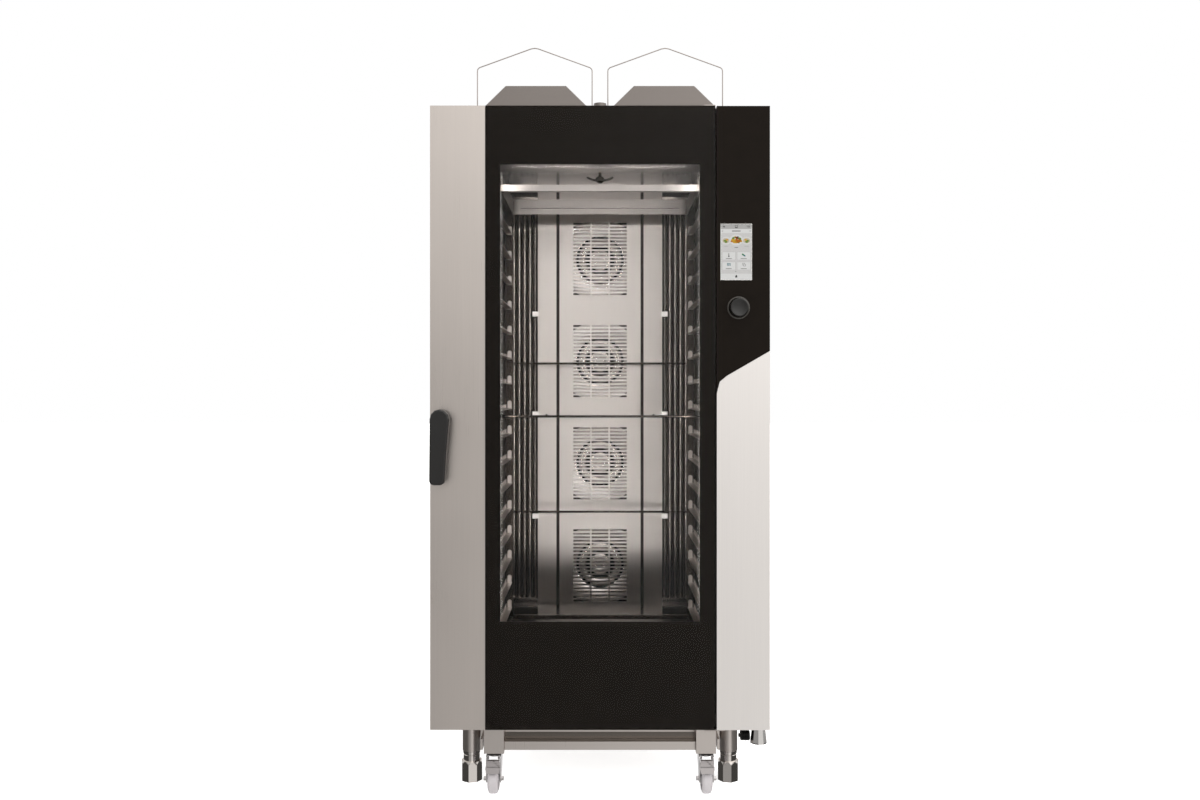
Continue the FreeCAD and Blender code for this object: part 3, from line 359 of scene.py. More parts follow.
haze = add_node(tree, "ShaderNodeMapRange", {"To Min": 1.0, "To Max": 0.6}, {"Value": roof.outputs["Result"]})
tree.links.new(haze.outputs["Result"], shader.inputs["Metallic"])
# Painted reflection: the roof's colour is pale while the walls keep the dark painted shade.
roof_painted_reflection = add_node(tree, "ShaderNodeMix", {"data_type": "RGBA", 7: to_linear("#F0EAE6")},
                   {0: roof.outputs["Result"], 6: wall_painted_shade})
tree.links.new(roof_painted_reflection.outputs[2], shader.inputs["Base Color"])
finish_nodes(liner_painted_shade_and_reflection, "cavity_liner")


# Fans --------------------------------------------------------------------------------------------
# Four radial wheels behind the slotted grilles, each on its motor's shaft: a steel inlet ring, curved
# blades, and a dished hub cover with a turned rim, all pressed and spun from sheet.

# Spun in circles, so it mirrors nearly evenly and light runs round it in rings.
spun_steel = steel("spun_stainless_disc", "#E4DEDA", 0.17, grain=0.0030, run=0.0030, marks=0.02)
# The blades are painted brown-black as painted shade, so the gaps round the eyes look dark, and they are
# dull.
fan_wheel_painted_shade = steel("fan_wheel_stainless_painted_shade", "#1C1815", 0.45, grain=0.002, run=0.02)
finish_nodes(fan_wheel_painted_shade, "fan_wheel_1", "fan_wheel_2", "fan_wheel_3", "fan_wheel_4")
# Cast and milled parts are an even, matt grey.
milled_steel = steel("cast_and_milled_steel", "#8E8883", 0.45, grain=0.002, run=0.002)
finish_nodes(milled_steel, "gas_burners", "fan_motors")
inlet_ring = [(47 * MM, 6 * MM), (49 * MM, 1 * MM), (53 * MM, -2 * MM), (60 * MM, -2.4 * MM),
              (67 * MM, -2 * MM), (71 * MM, 1 * MM), (72.5 * MM, 6 * MM)]
hub_cover = [(0, 3 * MM), (13 * MM, 3 * MM), (14 * MM, 1 * MM), (17 * MM, 0), (30 * MM, 0), (34 * MM, 2 * MM),
             (35.5 * MM, 6 * MM), (35.5 * MM, 42 * MM)]
inlet_plate = [(78.8 * MM, 1.5 * MM), (79.6 * MM, -1.5 * MM), (82 * MM, -2.5 * MM), (136 * MM, -2.5 * MM),
               (137 * MM, -1.0 * MM)]
for index in range(4):
    ring_low, ring_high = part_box(f"fan_wheel_{index + 1}")
    centre = Vector(((ring_low[0] + ring_high[0]) / 2, ring_low[1], (ring_low[2] + ring_high[2]) / 2))
    eye = bmesh.new()
    for profile in (inlet_ring, hub_cover, inlet_plate):
        lathe(eye, profile, centre, (0, 1, 0), steps=64)
    piece(eye, f"fan_eye_{index + 1}", f"fan_{index + 1}", "fan_steel", spun_steel)


# Spray arm ---------------------------------------------------------------------------------------
# Wash head that spins under the roof on a spindle: a turned stainless hub with two tubes welded in,
# each bent up and pinched flat at its end, so the water leaves as a fan and drives it round.

hub = Vector((0, -0.120, 1.780))
hub_profile = [(0, -23 * MM), (6 * MM, -22.5 * MM), (9 * MM, -20 * MM), (13 * MM, -17 * MM),
               (13 * MM, -6 * MM), (10 * MM, -3 * MM), (5 * MM, 0), (5 * MM, 9.5 * MM), (0, 9.5 * MM)]
arm = bmesh.new()
lathe(arm, hub_profile, hub, (0, 0, 1), steps=32)
for side in (-1, 1):
    start = hub + Vector((side * 11 * MM, 0, -13 * MM))
    mouth = bmesh.ops.create_circle(arm, cap_ends=True, radius=3.6 * MM, segments=16,
                                    matrix=Matrix.Translation(start) @ Matrix.Rotation(math.pi / 2, 4, "Y"))
    face = mouth["verts"][0].link_faces[0]
    bent = bmesh.ops.spin(arm, geom=[face, *face.edges, *face.verts], cent=start + Vector((0, 0, 50 * MM)),
                          axis=(0, side, 0), angle=-math.radians(36), steps=10)
    tip = [part for part in bent["geom_last"] if isinstance(part, bmesh.types.BMVert)]
    centre = sum((vert.co for vert in tip), Vector()) / len(tip)
    bmesh.ops.scale(arm, vec=(0.5, 1.4, 0.5), verts=tip, space=Matrix.Translation(-centre))
# Turned and scaled by hot water: dark, with narrow sharp lights.
piece(arm, "wash_spray_arm", "wash_arm", "bright_steel", steel("dark_turned_stainless", "#4A4541", 0.20),
      replaced=["spray_arm"])


# Door --------------------------------------------------------------------------------------------
# Double glazed door on a hollow stainless frame. The outer pane is printed black on its back, except
# for the window. A light strip stands at each side of the window between the panes.

def enamel(name, low, high):
    """Black ceramic print fired on glass, slightly uneven in tone and gloss."""
    material = bpy.data.materials.new(name)
    material.use_nodes = True
    tree = material.node_tree
    shader = tree.nodes["Principled BSDF"]
    shader.inputs["Specular IOR Level"].default_value = 0.04
    place = add_node(tree, "ShaderNodeTexCoord")
    clouds = add_node(tree, "ShaderNodeTexNoise", {"Scale": 30.0, "Detail": 3.0},
                      {"Vector": place.outputs["Object"]})
    ink = add_node(tree, "ShaderNodeMix", {"data_type": "RGBA", 6: to_linear(low), 7: to_linear(high)},
                   {0: clouds.outputs["Fac"]})
    evenness = add_node(tree, "ShaderNodeMapRange", {"To Min": 0.30, "To Max": 0.36},
                        {"Value": clouds.outputs["Fac"]})
    tree.links.new(ink.outputs[2], shader.inputs["Base Color"])
    tree.links.new(evenness.outputs["Result"], shader.inputs["Roughness"])
    return material


# Fired print is nearly black and warm, with hardly any shine of its own behind the clear pane.
finish_nodes(enamel("black_enamel_print", "#110E0B", "#15110E"), "door_glass_print")
finish_nodes(enamel("black_printed_glass", "#0F0C09", "#130F0C"), "control_glass")

# Toughened soda-lime glass: clear straight on, more mirror at a slant. It is a thin mirror whose
# cover follows Fresnel, so light passes without a tint. The low IOR stands for its coated faces.
clear_glass = bpy.data.materials.new("clear_toughened_glass")
clear_glass.use_nodes = True
tree = clear_glass.node_tree
shader = tree.nodes["Principled BSDF"]
shader.inputs["Base Color"].default_value = to_linear("#F2F2F0")
shader.inputs["Metallic"].default_value = 1.0
shader.inputs["Roughness"].default_value = 0.02
mirror = add_node(tree, "ShaderNodeFresnel", {"IOR": 1.16})
tree.links.new(mirror.outputs[0], shader.inputs["Alpha"])
finish_nodes(clear_glass, "door_outer_glass", "door_inner_glass")

# Finer ground than the panels, so its mirror is a little sharper.
strip_sheet = steel("fine_ground_stainless_strip", "#D6CEC8", 0.30)
finish_nodes(strip_sheet, "door_side_panel")
finish_nodes(bright_liner, "door_frame", "door_latch", "hinge_brackets")

# Frosted acrylic spreads the light of the diodes, so a strip is an even warm white from any side.
lit_diffuser = bpy.data.materials.new("frosted_acrylic_lit")
lit_diffuser.use_nodes = True
tree = lit_diffuser.node_tree
shader = tree.nodes["Principled BSDF"]
shader.inputs["Roughness"].default_value = 0.5
shader.inputs["Emission Strength"].default_value = 1.2
shader.inputs["Emission Color"].default_value = to_linear("#FFF6EC")
place = add_node(tree, "ShaderNodeTexCoord")
frost = add_node(tree, "ShaderNodeTexNoise", {"Scale": 900.0}, {"Vector": place.outputs["Object"]})
milky = add_node(tree, "ShaderNodeMix",
                 {"data_type": "RGBA", 6: to_linear("#E4E4DF"), 7: to_linear("#F2F2EE")},
                 {0: frost.outputs["Fac"]})
tree.links.new(milky.outputs[2], shader.inputs["Base Color"])
finish_nodes(lit_diffuser, "door_led_strips", "display_module")

# The diodes' light: one narrow source at each strip, turned into the cavity, and one under the roof.
led_low, led_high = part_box("door_led_strips")
led_middle, led_length = (led_low[2] + led_high[2]) / 2, led_high[2] - led_low[2]
led_x, led_y, led_width = 0.282, led_high[1] + 0.004, 0.012
top_lamp_y, top_lamp_z = led_high[1] + 0.010, 1.768
for name, power, size, spread, spot, turn in (
        ("cavity_led_left", 0.65, (led_width, led_length), 110, (-led_x, led_y, led_middle), (90, 0, -50)),
        ("cavity_led_right", 0.65, (led_width, led_length), 110, (led_x, led_y, led_middle), (90, 0, 50)),
        ("cavity_led_top", 1.5, (0.50, 0.02), 180, (0, top_lamp_y, top_lamp_z), (74, 0, 0))):
    lamp = bpy.data.lights.new(name, "AREA")
    lamp.energy = power
    lamp.spread = math.radians(spread)
    lamp.color = (1.0, 0.975, 0.95)
    lamp.shape = "RECTANGLE"
    lamp.size, lamp.size_y = size
    light = bpy.data.objects.new(name, lamp)
    light.location = spot
    light.rotation_euler = [math.radians(angle) for angle in turn]
    bpy.context.collection.objects.link(light)


# Control column ----------------------------------------------------------------------------------
# Black printed glass above and a folded stainless panel below, butted along a slanting joint. The
# knob is moulded, with a dished face, and turns in a slightly paler ring.

# Painted lighter than the side panels' sheet, a painted light, so it stays pale where the room it mirrors is
# dark.
column_sheet_painted_light = steel("satin_stainless_painted_light", "#EFEBE8", 0.36)
finish_nodes(column_sheet_painted_light, "control_panel")
ease_edges(0.0008, "control_panel")


def moulded(name, low, high, roughness, dimples=1400.0, depth=0.10):
    """Moulded plastic or rubber with spark-eroded texture; dimples is their number per metre."""
    material = bpy.data.materials.new(name)
    material.use_nodes = True
    tree = material.node_tree
    shader = tree.nodes["Principled BSDF"]
    place = add_node(tree, "ShaderNodeTexCoord")
    grain = add_node(tree, "ShaderNodeTexNoise", {"Scale": dimples, "Detail": 2.0},
                     {"Vector": place.outputs["Object"]})
    patches = add_node(tree, "ShaderNodeTexNoise", {"Scale": 18.0, "Detail": 3.0},
                       {"Vector": place.outputs["Object"]})
    tint = add_node(tree, "ShaderNodeMix", {"data_type": "RGBA", 6: to_linear(low), 7: to_linear(high)},
                    {0: patches.outputs["Fac"]})
    gloss = add_node(tree, "ShaderNodeMapRange", {"To Min": roughness - 0.06, "To Max": roughness + 0.06},
                     {"Value": patches.outputs["Fac"]})
    dimple = add_node(tree, "ShaderNodeBump", {"Strength": depth, "Distance": 0.0002},
                      {"Height": grain.outputs["Fac"]})
    tree.links.new(tint.outputs[2], shader.inputs["Base Color"])
    tree.links.new(gloss.outputs["Result"], shader.inputs["Roughness"])
    tree.links.new(dimple.outputs["Normal"], shader.inputs["Normal"])
    return material


# Glass-filled polyamide from an eroded mould: black with a broad, soft shine.
black_moulding = moulded("satin_black_polyamide", "#070606", "#0B0A09", 0.40)
finish_nodes(black_moulding, "door_handle", "cable_gland")
ease_edges(0.005, "door_handle")
# Laminate under solder mask is green and even.
finish_nodes(moulded("green_circuit_laminate", "#1E4A34", "#2A5C40", 0.45), "control_board")
finish_nodes(screw_steel, "encoder_shaft")

knob_low, knob_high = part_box("control_knob")
knob_centre = ((knob_low[0] + knob_high[0]) / 2, door_face_y, (knob_low[2] + knob_high[2]) / 2)
knob_profile = [(3.2 * MM, 2.5 * MM), (24.5 * MM, 2.5 * MM), (25.6 * MM, 4 * MM), (25.2 * MM, 20 * MM),
                (24.4 * MM, 22 * MM), (22.6 * MM, 23 * MM), (20.6 * MM, 22.6 * MM), (15 * MM, 21.3 * MM),
                (8 * MM, 20.5 * MM), (0, 20.2 * MM)]
knob = bmesh.new()
lathe(knob, knob_profile, knob_centre, (0, -1, 0), steps=96)
# A soft coating takes the edge off every highlight.
piece(knob, "dished_control_knob", "knob", "knob_plastic",
      moulded("soft_touch_black_knob", "#080706", "#0C0B09", 0.34), replaced=["control_knob"])
ring_profile = [(27.0 * MM, 0), (27.0 * MM, 1.6 * MM), (28.0 * MM, 2.2 * MM), (29.6 * MM, 2.0 * MM),
                (31.0 * MM, 0.9 * MM), (31.2 * MM, 0)]
ring = bmesh.new()
lathe(ring, ring_profile, knob_centre, (0, -1, 0), steps=96)
piece(ring, "knob_ring", "oven", "knob_plastic", moulded("grey_moulded_ring", "#26231F", "#2C2924", 0.38))


# Touch display -----------------------------------------------------------------------------------
# Lit liquid-crystal panel behind the glass. The page is generic: a header, a row of dishes, four tiles
# with plain icons and a home mark, with bars where words would stand.

screen_low, screen_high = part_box("display_module")
screen_x, screen_z = (screen_low[0] + screen_high[0]) / 2, (screen_low[2] + screen_high[2]) / 2
# Backlit liquid crystal: each tone glows evenly and hardly mirrors. The raster is its dot pitch.
page_colours = ("#E4E3E1", "#F4F4F3", "#C4C3C1", "#6B6A68", "#1F1F1F", "#3F8F5A", "#2F7F8C", "#E3B23C",
                "#D07A2A", "#7E9A45", "#8A4B2A", "#D9CDB8")
PAGE, CARD, LINE, WORD, MARK, LEAF, TEAL, YOLK, CARROT, SALAD, CRUST, FADED = range(len(page_colours))
page_finishes = []
for index, colour in enumerate(page_colours):
    material = bpy.data.materials.new(f"lit_display_tone_{index + 1}")
    material.use_nodes = True
    tree = material.node_tree
    shader = tree.nodes["Principled BSDF"]
    place = add_node(tree, "ShaderNodeTexCoord")
    raster = add_node(tree, "ShaderNodeTexChecker", {"Scale": 4000.0}, {"Vector": place.outputs["Object"]})
    dim, full = ((*(part * share for part in to_linear(colour)[:3]), 1) for share in (0.23, 0.26))
    dots = add_node(tree, "ShaderNodeMix", {"data_type": "RGBA", 6: dim, 7: full}, {0: raster.outputs["Fac"]})
    tree.links.new(dots.outputs[2], shader.inputs["Base Color"])
    tree.links.new(dots.outputs[2], shader.inputs["Emission Color"])
    shader.inputs["Emission Strength"].default_value = 0.72
    shader.inputs["Specular IOR Level"].default_value = 0.1
    shader.inputs["Roughness"].default_value = 0.6
    page_finishes.append(material)

page = bmesh.new()


def page_shape(kind, x, z, width, height, tone, layer, turn=0.0):
    """Flat rounded card or disc on the display, in millimetres from its middle."""
    before = set(page.faces)
    place = Matrix.Translation((screen_x + x * MM, door_face_y - layer * 0.04 * MM, screen_z + z * MM))
    place = place @ Matrix.Rotation(math.radians(turn), 4, "Y")
    place = place @ Matrix.Diagonal((width * MM, 1, height * MM, 1)) @ Matrix.Rotation(math.pi / 2, 4, "X")
    if kind == "disc":
        bmesh.ops.create_circle(page, cap_ends=True, radius=0.5, segments=24, matrix=place)
    else:
        made = bmesh.ops.create_grid(page, x_segments=1, y_segments=1, size=0.5, matrix=place)
        if kind == "card":
            bmesh.ops.bevel(page, geom=made["verts"], offset=0.8 * MM, segments=3, profile=0.5,
                            affect="VERTICES", material=-1)
    for face in set(page.faces) - before:
        face.material_index = tone


page_shape("plain", 0, 0, 85.6, 154.3, PAGE, 1)
page_shape("plain", 0, 70.2, 85.6, 13.6, LINE, 2)
page_shape("plain", 0, 57.4, 85.6, 10.6, CARD, 2)
page_shape("plain", 0, -68.5, 85.6, 17.0, CARD, 2)
for x, z, width, height, tone in (
        (-34.0, 70.0, 4.6, 3.6, WORD), (-32.5, 68.0, 2.2, 1.2, MARK), (33.0, 71.2, 10.0, 1.6, WORD),
        (34.5, 68.4, 7.0, 1.2, WORD), (0, 57.6, 24.0, 2.4, WORD)):
    page_shape("card", x, z, width, height, tone, 3)
page_shape("card", 0, 70.2, 7.4, 8.6, WORD, 3)
page_shape("card", 0, 71.0, 5.0, 4.4, LINE, 4)
for side in (-1, 1):
    page_shape("plain", side * 37.2, 57.6, 2.9, 2.9, MARK, 3, 45)
    page_shape("plain", side * 36.0, 57.6, 2.4, 4.6, CARD, 4)
    page_shape("disc", side * 28.5, 31.0, 25.0, 21.0, CARD, 3)
    page_shape("disc", side * 28.5, 31.0, 20.0, 14.5, FADED, 4)
    page_shape("card", side * 28.5, 15.6, 13.0, 1.2, LINE, 4)
page_shape("disc", 0, 33.0, 38.0, 30.0, CARD, 5)
page_shape("card", 0, 12.2, 10.0, 1.4, WORD, 5)
for x, z, width, height, tone, turn in (
        (-7.0, 31.5, 16.0, 8.5, YOLK, 12), (6.0, 30.0, 17.0, 9.0, CARROT, -14),
        (-1.0, 26.6, 19.0, 6.0, YOLK, 0), (9.5, 36.5, 10.0, 6.5, SALAD, 30),
        (-8.0, 38.0, 9.0, 6.0, SALAD, -25), (2.0, 38.5, 12.0, 6.0, CRUST, 18),
        (0.5, 33.5, 7.0, 7.0, CARROT, 0), (-12.5, 29.0, 7.0, 5.0, CARROT, 0),
        (13.5, 29.5, 6.0, 6.0, YOLK, 0), (4.5, 41.5, 5.0, 3.0, MARK, 10),
        (-3.0, 42.0, 5.0, 3.0, YOLK, 0), (7.0, 25.0, 5.0, 3.0, SALAD, 0)):
    page_shape("disc", x, z, width, height, tone, 6, turn)
for side in (-1, 1):
    for x, z in ((side * 26.0, 33.0), (side * 31.5, 31.0), (side * 28.0, 27.5)):
        page_shape("disc", x, z, 8.0, 5.0, YOLK if z > 32 else SALAD, 5, side * 20)
    for row, z in enumerate((-11.0, -38.6)):
        page_shape("card", side * 20.6, z, 36.6, 22.4, LINE, 3)
        page_shape("card", side * 20.6, z, 35.6, 21.4, CARD, 4)
        page_shape("card", side * 20.6, z - 7.6, 17.0, 1.4, WORD, 5)
page_shape("card", -20.6, -8.0, 1.8, 9.0, WORD, 5)
page_shape("disc", -20.6, -12.2, 4.2, 4.2, WORD, 5)
page_shape("disc", 18.6, -7.6, 8.0, 4.6, LEAF, 5, 35)
page_shape("disc", 22.6, -10.2, 6.6, 3.8, TEAL, 5, 35)
for x in (-24.2, -20.6, -17.0):
    for z in (-32.6, -36.2):
        page_shape("card", x, z, 2.8, 2.8, TEAL, 5)
page_shape("card", 19.8, -33.8, 6.2, 6.2, WORD, 5)
page_shape("card", 19.8, -33.8, 4.6, 4.6, CARD, 6)
page_shape("card", 22.8, -36.4, 6.2, 6.2, WORD, 7)
page_shape("card", 22.8, -36.4, 4.6, 4.6, CARD, 8)
page_shape("disc", -1.6, -53.4, 2.4, 2.4, WORD, 3)
page_shape("plain", 0, -66.6, 4.6, 4.6, MARK, 3, 45)
page_shape("plain", 0, -69.4, 5.0, 4.0, MARK, 4)
page_shape("plain", 0, -70.3, 1.4, 2.4, CARD, 5)
bmesh.ops.recalc_face_normals(page, faces=page.faces)
for face in page.faces:
    if face.normal.y > 0:
        face.normal_flip()
display_mesh = bpy.data.meshes.new("display_page")
page.to_mesh(display_mesh)
page.free()
for material in page_finishes:
    display_mesh.materials.append(material)
display_page = bpy.data.objects.new("display_page", display_mesh)
bpy.context.collection.objects.link(display_page)
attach(display_page, "oven")


# Mobile rack -------------------------------------------------------------------------------------
# Welded frame of ground stainless box section and tube, with folded rails for sixteen trays. Each
# rail ends at the rear post in an upturned rounded stop, so a tray can't slide out at the back.

# Box section ground in short strokes: pale, with a soft broken mirror.
ground_bar = steel("ground_stainless_section", "#CBC4BF", 0.30, grain=0.0010, run=0.12)
# Rails keep the mill's lengthwise lines, so they draw thin pale strokes across the dark cavity.
rail_sheet = steel("folded_stainless_rail", "#DCD5D0", 0.36, upright=False, grain=0.0010, run=0.12)
finish_nodes(ground_bar, "rack_base", "rack_front_plate")
# Posts and ties are painted dark as painted shade; the top bow is painted pale as a painted highlight, fading
# back to the dark at its ends as painted shade, and is satin.
bow_z, bow_end, bow_full = 1.6885, 0.282, 0.260
rack_frame_painted_shade_and_highlight = steel("rack_stainless_painted_shade_and_highlight", "#514A45", 0.26, grain=0.0010, run=0.12)
tree = rack_frame_painted_shade_and_highlight.node_tree
shader = tree.nodes["Principled BSDF"]
dull = shader.inputs["Base Color"].links[0].from_socket
gloss = shader.inputs["Roughness"].links[0].from_socket
place = add_node(tree, "ShaderNodeTexCoord")
axes = add_node(tree, "ShaderNodeSeparateXYZ", links={0: place.outputs["Object"]})
# Painted highlight mask: the bow above bow_z, faded out towards its ends as painted shade.
aloft = add_node(tree, "ShaderNodeMath", {"operation": "GREATER_THAN", 1: bow_z}, {0: axes.outputs["Z"]})
sideways = add_node(tree, "ShaderNodeMath", {"operation": "ABSOLUTE"}, {0: axes.outputs["X"]})
bow_end_painted_shade = add_node(tree, "ShaderNodeMapRange", {"From Min": bow_end, "From Max": bow_full},
                  {"Value": sideways.outputs[0]})
bow = add_node(tree, "ShaderNodeMath", {"operation": "MULTIPLY"},
               {0: aloft.outputs[0], 1: bow_end_painted_shade.outputs["Result"]})
satin = add_node(tree, "ShaderNodeMix", {"data_type": "FLOAT", 3: 0.55}, {0: bow.outputs[0], 2: gloss})
# Painted highlight on the bow, over the painted shade of the posts.
bright = add_node(tree, "ShaderNodeMix", {"data_type": "RGBA", 7: to_linear("#CDC7C3")},
                  {0: bow.outputs[0], 6: dull})
tree.links.new(satin.outputs[0], shader.inputs["Roughness"])
tree.links.new(bright.outputs[2], shader.inputs["Base Color"])
finish_nodes(rack_frame_painted_shade_and_highlight, "rack_frame")
finish_nodes(rail_sheet, "rack_rails")
ease_edges(0.0015, "rack_base")
ease_edges(0.0008, "rack_frame")
levels, first_level_z, level_pitch = 16, 0.425, 0.080
stop_x, stop_half = 0.2905, 6.5 * MM
stops = bmesh.new()
for side in (-1, 1):
    for level in range(levels):
        floor_z = first_level_z + level_pitch * level
        corners = block(stops, (side * stop_x - stop_half, 36 * MM, floor_z - 2 * MM),
                        (side * stop_x + stop_half, 40 * MM, floor_z + 26 * MM))
        tops = {edge for vert in corners for edge in vert.link_edges
                if all(end.co.z > floor_z + 20 * MM for end in edge.verts)
                and abs(edge.verts[0].co.y - edge.verts[1].co.y) > 3 * MM}
        round_edges(stops, tops, 6 * MM, 4)
piece(stops, "rail_end_stops", "rack", "rail_steel", rail_sheet)
# Two thin dark strips set in the shade of the base's front bar and of the bow: painted shade.
recess_low, recess_high = (-0.267, -0.3652, 0.1400), (0.267, -0.3642, 0.1588)
bow_strip_low, bow_strip_high = (-0.255, 0.0430, 1.7083), (0.255, 0.0438, 1.7100)
shade = bmesh.new()
block(shade, recess_low, recess_high)
block(shade, bow_strip_low, bow_strip_high)
piece(shade, "painted_shade_strips", "rack", "rack_steel",
      steel("painted_shade_stainless", "#6A645F", 0.24, upright=False))


# Castors -----------------------------------------------------------------------------------------
# Pressed zinc-plated forks swivel on ball races under the rack's base, with grey rubber wheels on
# bolted axles. Each of the two front castors has a brake pedal, folded from sheet, on a pin.

# Zinc over a pressing has no lines: even, slightly cloudy and cool.
plated = steel("zinc_plated_pressing", "#C9C6C6", 0.34, grain=0.004, run=0.004, marks=0.06)
# Grease keeps the race dark between its two bright lips.
race_steel = steel("greased_ball_race", "#4A4643", 0.40, grain=0.002, run=0.002)
# Grey non-marking rubber is matt, with a slight bloom.
grey_tyre = moulded("grey_rubber_tyre", "#938F91", "#9B9799", 0.50, 900.0)
castor_x, castor_trail, axle_z = 0.297, 28 * MM, 40 * MM
castor_hands = (("left", -castor_x), ("right", castor_x))
axle_nut = [(0, 20.6 * MM), (9.5 * MM, 20.6 * MM), (9.5 * MM, 21.6 * MM), (6.5 * MM, 21.6 * MM),
            (6.5 * MM, 27 * MM), (5.5 * MM, 28 * MM), (0, 28 * MM)]
race_profile = [(0, 102.4 * MM), (24 * MM, 102.4 * MM), (26 * MM, 104 * MM), (26 * MM, 106 * MM),
                (23.5 * MM, 106.5 * MM), (23.5 * MM, 107.5 * MM), (25 * MM, 108 * MM), (25 * MM, 109.6 * MM),
                (0, 109.6 * MM)]
for end, swivel_y in (("front", -0.370), ("rear", 0.120)):
    for hand, swivel_x in castor_hands:
        name = f"{end}_{hand}"
        axle_y = swivel_y - castor_trail
        finish_nodes(grey_tyre, f"castor_wheel_{name}")
        fork = bmesh.new()
        lathe(fork, [(0, 98 * MM), (21 * MM, 98 * MM), (21 * MM, 102.5 * MM), (0, 102.5 * MM)],
              (swivel_x, swivel_y, 0), (0, 0, 1), steps=40)
        for side in (-1, 1):
            outline = [(axle_y - 11 * MM, 30 * MM), (axle_y + 11 * MM, 30 * MM),
                       (swivel_y + 18 * MM, 82 * MM), (swivel_y + 14 * MM, 102 * MM),
                       (swivel_y - 30 * MM, 106 * MM), (swivel_y - 42 * MM, 104 * MM),
                       (swivel_y - 42 * MM, 96 * MM), (axle_y - 13 * MM, 62 * MM)]
            cheek = fork.faces.new([fork.verts.new((swivel_x + side * 18 * MM, y, z)) for y, z in outline])
            raised = bmesh.ops.extrude_face_region(fork, geom=[cheek])
            lifted = [part for part in raised["geom"] if isinstance(part, bmesh.types.BMVert)]
            bmesh.ops.translate(fork, vec=(side * 2.6 * MM, 0, 0), verts=lifted)
            corners = [edge for vert in lifted for edge in vert.link_edges
                       if abs(edge.verts[0].co.x - edge.verts[1].co.x) > 2 * MM]
            round_edges(fork, set(corners), 5 * MM, 3)
            block(fork, (swivel_x + side * 9.5 * MM - 9.5 * MM, swivel_y - 16 * MM, 98.5 * MM),
                  (swivel_x + side * 9.5 * MM + 9.5 * MM, swivel_y + 14 * MM, 102 * MM))
            lathe(fork, axle_nut, (swivel_x, axle_y, axle_z), (side, 0, 0), steps=6)
        lathe(fork, [(0, -22 * MM), (4 * MM, -22 * MM), (4 * MM, 22 * MM), (0, 22 * MM)],
              (swivel_x, axle_y, axle_z), (1, 0, 0), steps=16)
        piece(fork, f"pressed_fork_{name}", f"castor_{name}", "castor_zinc", plated,
              replaced=[f"castor_fork_{name}"])
        race = bmesh.new()
        lathe(race, race_profile, (swivel_x, swivel_y, 0), (0, 0, 1), steps=40)
        piece(race, f"ball_race_{name}", f"castor_{name}", "castor_zinc", race_steel)

# The pedals are worn by shoes, so their zinc is darker.
dark_plated = steel("dark_plated_pedal", "#8E8A8A", 0.36, grain=0.004, run=0.004)
pin_y, pin_z = -0.406, 0.1005
line = [(pin_y - 3 * MM, 96 * MM), (pin_y - 8 * MM, 94 * MM), (pin_y - 22 * MM, 79.5 * MM),
        (pin_y - 24 * MM, 77 * MM), (pin_y - 34 * MM, 67 * MM)]
widths = (17.4, 17.4, 20.4, 20.4, 17.0)
for hand, swivel_x in castor_hands:
    pedal = bmesh.new()
    rows = [[pedal.verts.new((swivel_x + side * width * MM, y, z)) for side in (-1, 1)]
            for (y, z), width in zip(line, widths)]
    for upper, lower in zip(rows, rows[1:]):
        pedal.faces.new((upper[0], upper[1], lower[1], lower[0]))
    bmesh.ops.solidify(pedal, geom=list(pedal.faces), thickness=2.0 * MM)
    rims = [edge for edge in pedal.edges if abs(edge.verts[0].co.x - edge.verts[1].co.x) < 4 * MM
            and len(edge.link_faces) == 2 and edge.calc_face_angle() > 1.0]
    round_edges(pedal, rims, 0.5 * MM, 1)
    for side in (-1, 1):
        lathe(pedal, [(0, 12 * MM), (3 * MM, 12 * MM), (3 * MM, 17.3 * MM), (0, 17.3 * MM)],
              (swivel_x, pin_y, pin_z), (side, 0, 0), steps=16)
        block(pedal, (swivel_x + side * 15.4 * MM - 1 * MM, pin_y - 6 * MM, 93 * MM),
              (swivel_x + side * 15.4 * MM + 1 * MM, pin_y + 3 * MM, 103.5 * MM))
    piece(pedal, f"folded_pedal_{hand}", f"brake_{hand}", "castor_zinc", dark_plated,
          replaced=[f"brake_pedal_{hand}"], crease=20)


# Base, feet and shower ---------------------------------------------------------------------------
# Folded chassis beams carry four sleeves. In each screws a turned stainless foot with an octagonal
# spanner flange, chamfered on the lathe, so its top edge is scalloped. The chromed hand shower hangs
# under the right front corner, beside its hose outlet.

finish_nodes(ground_bar, "base_chassis")
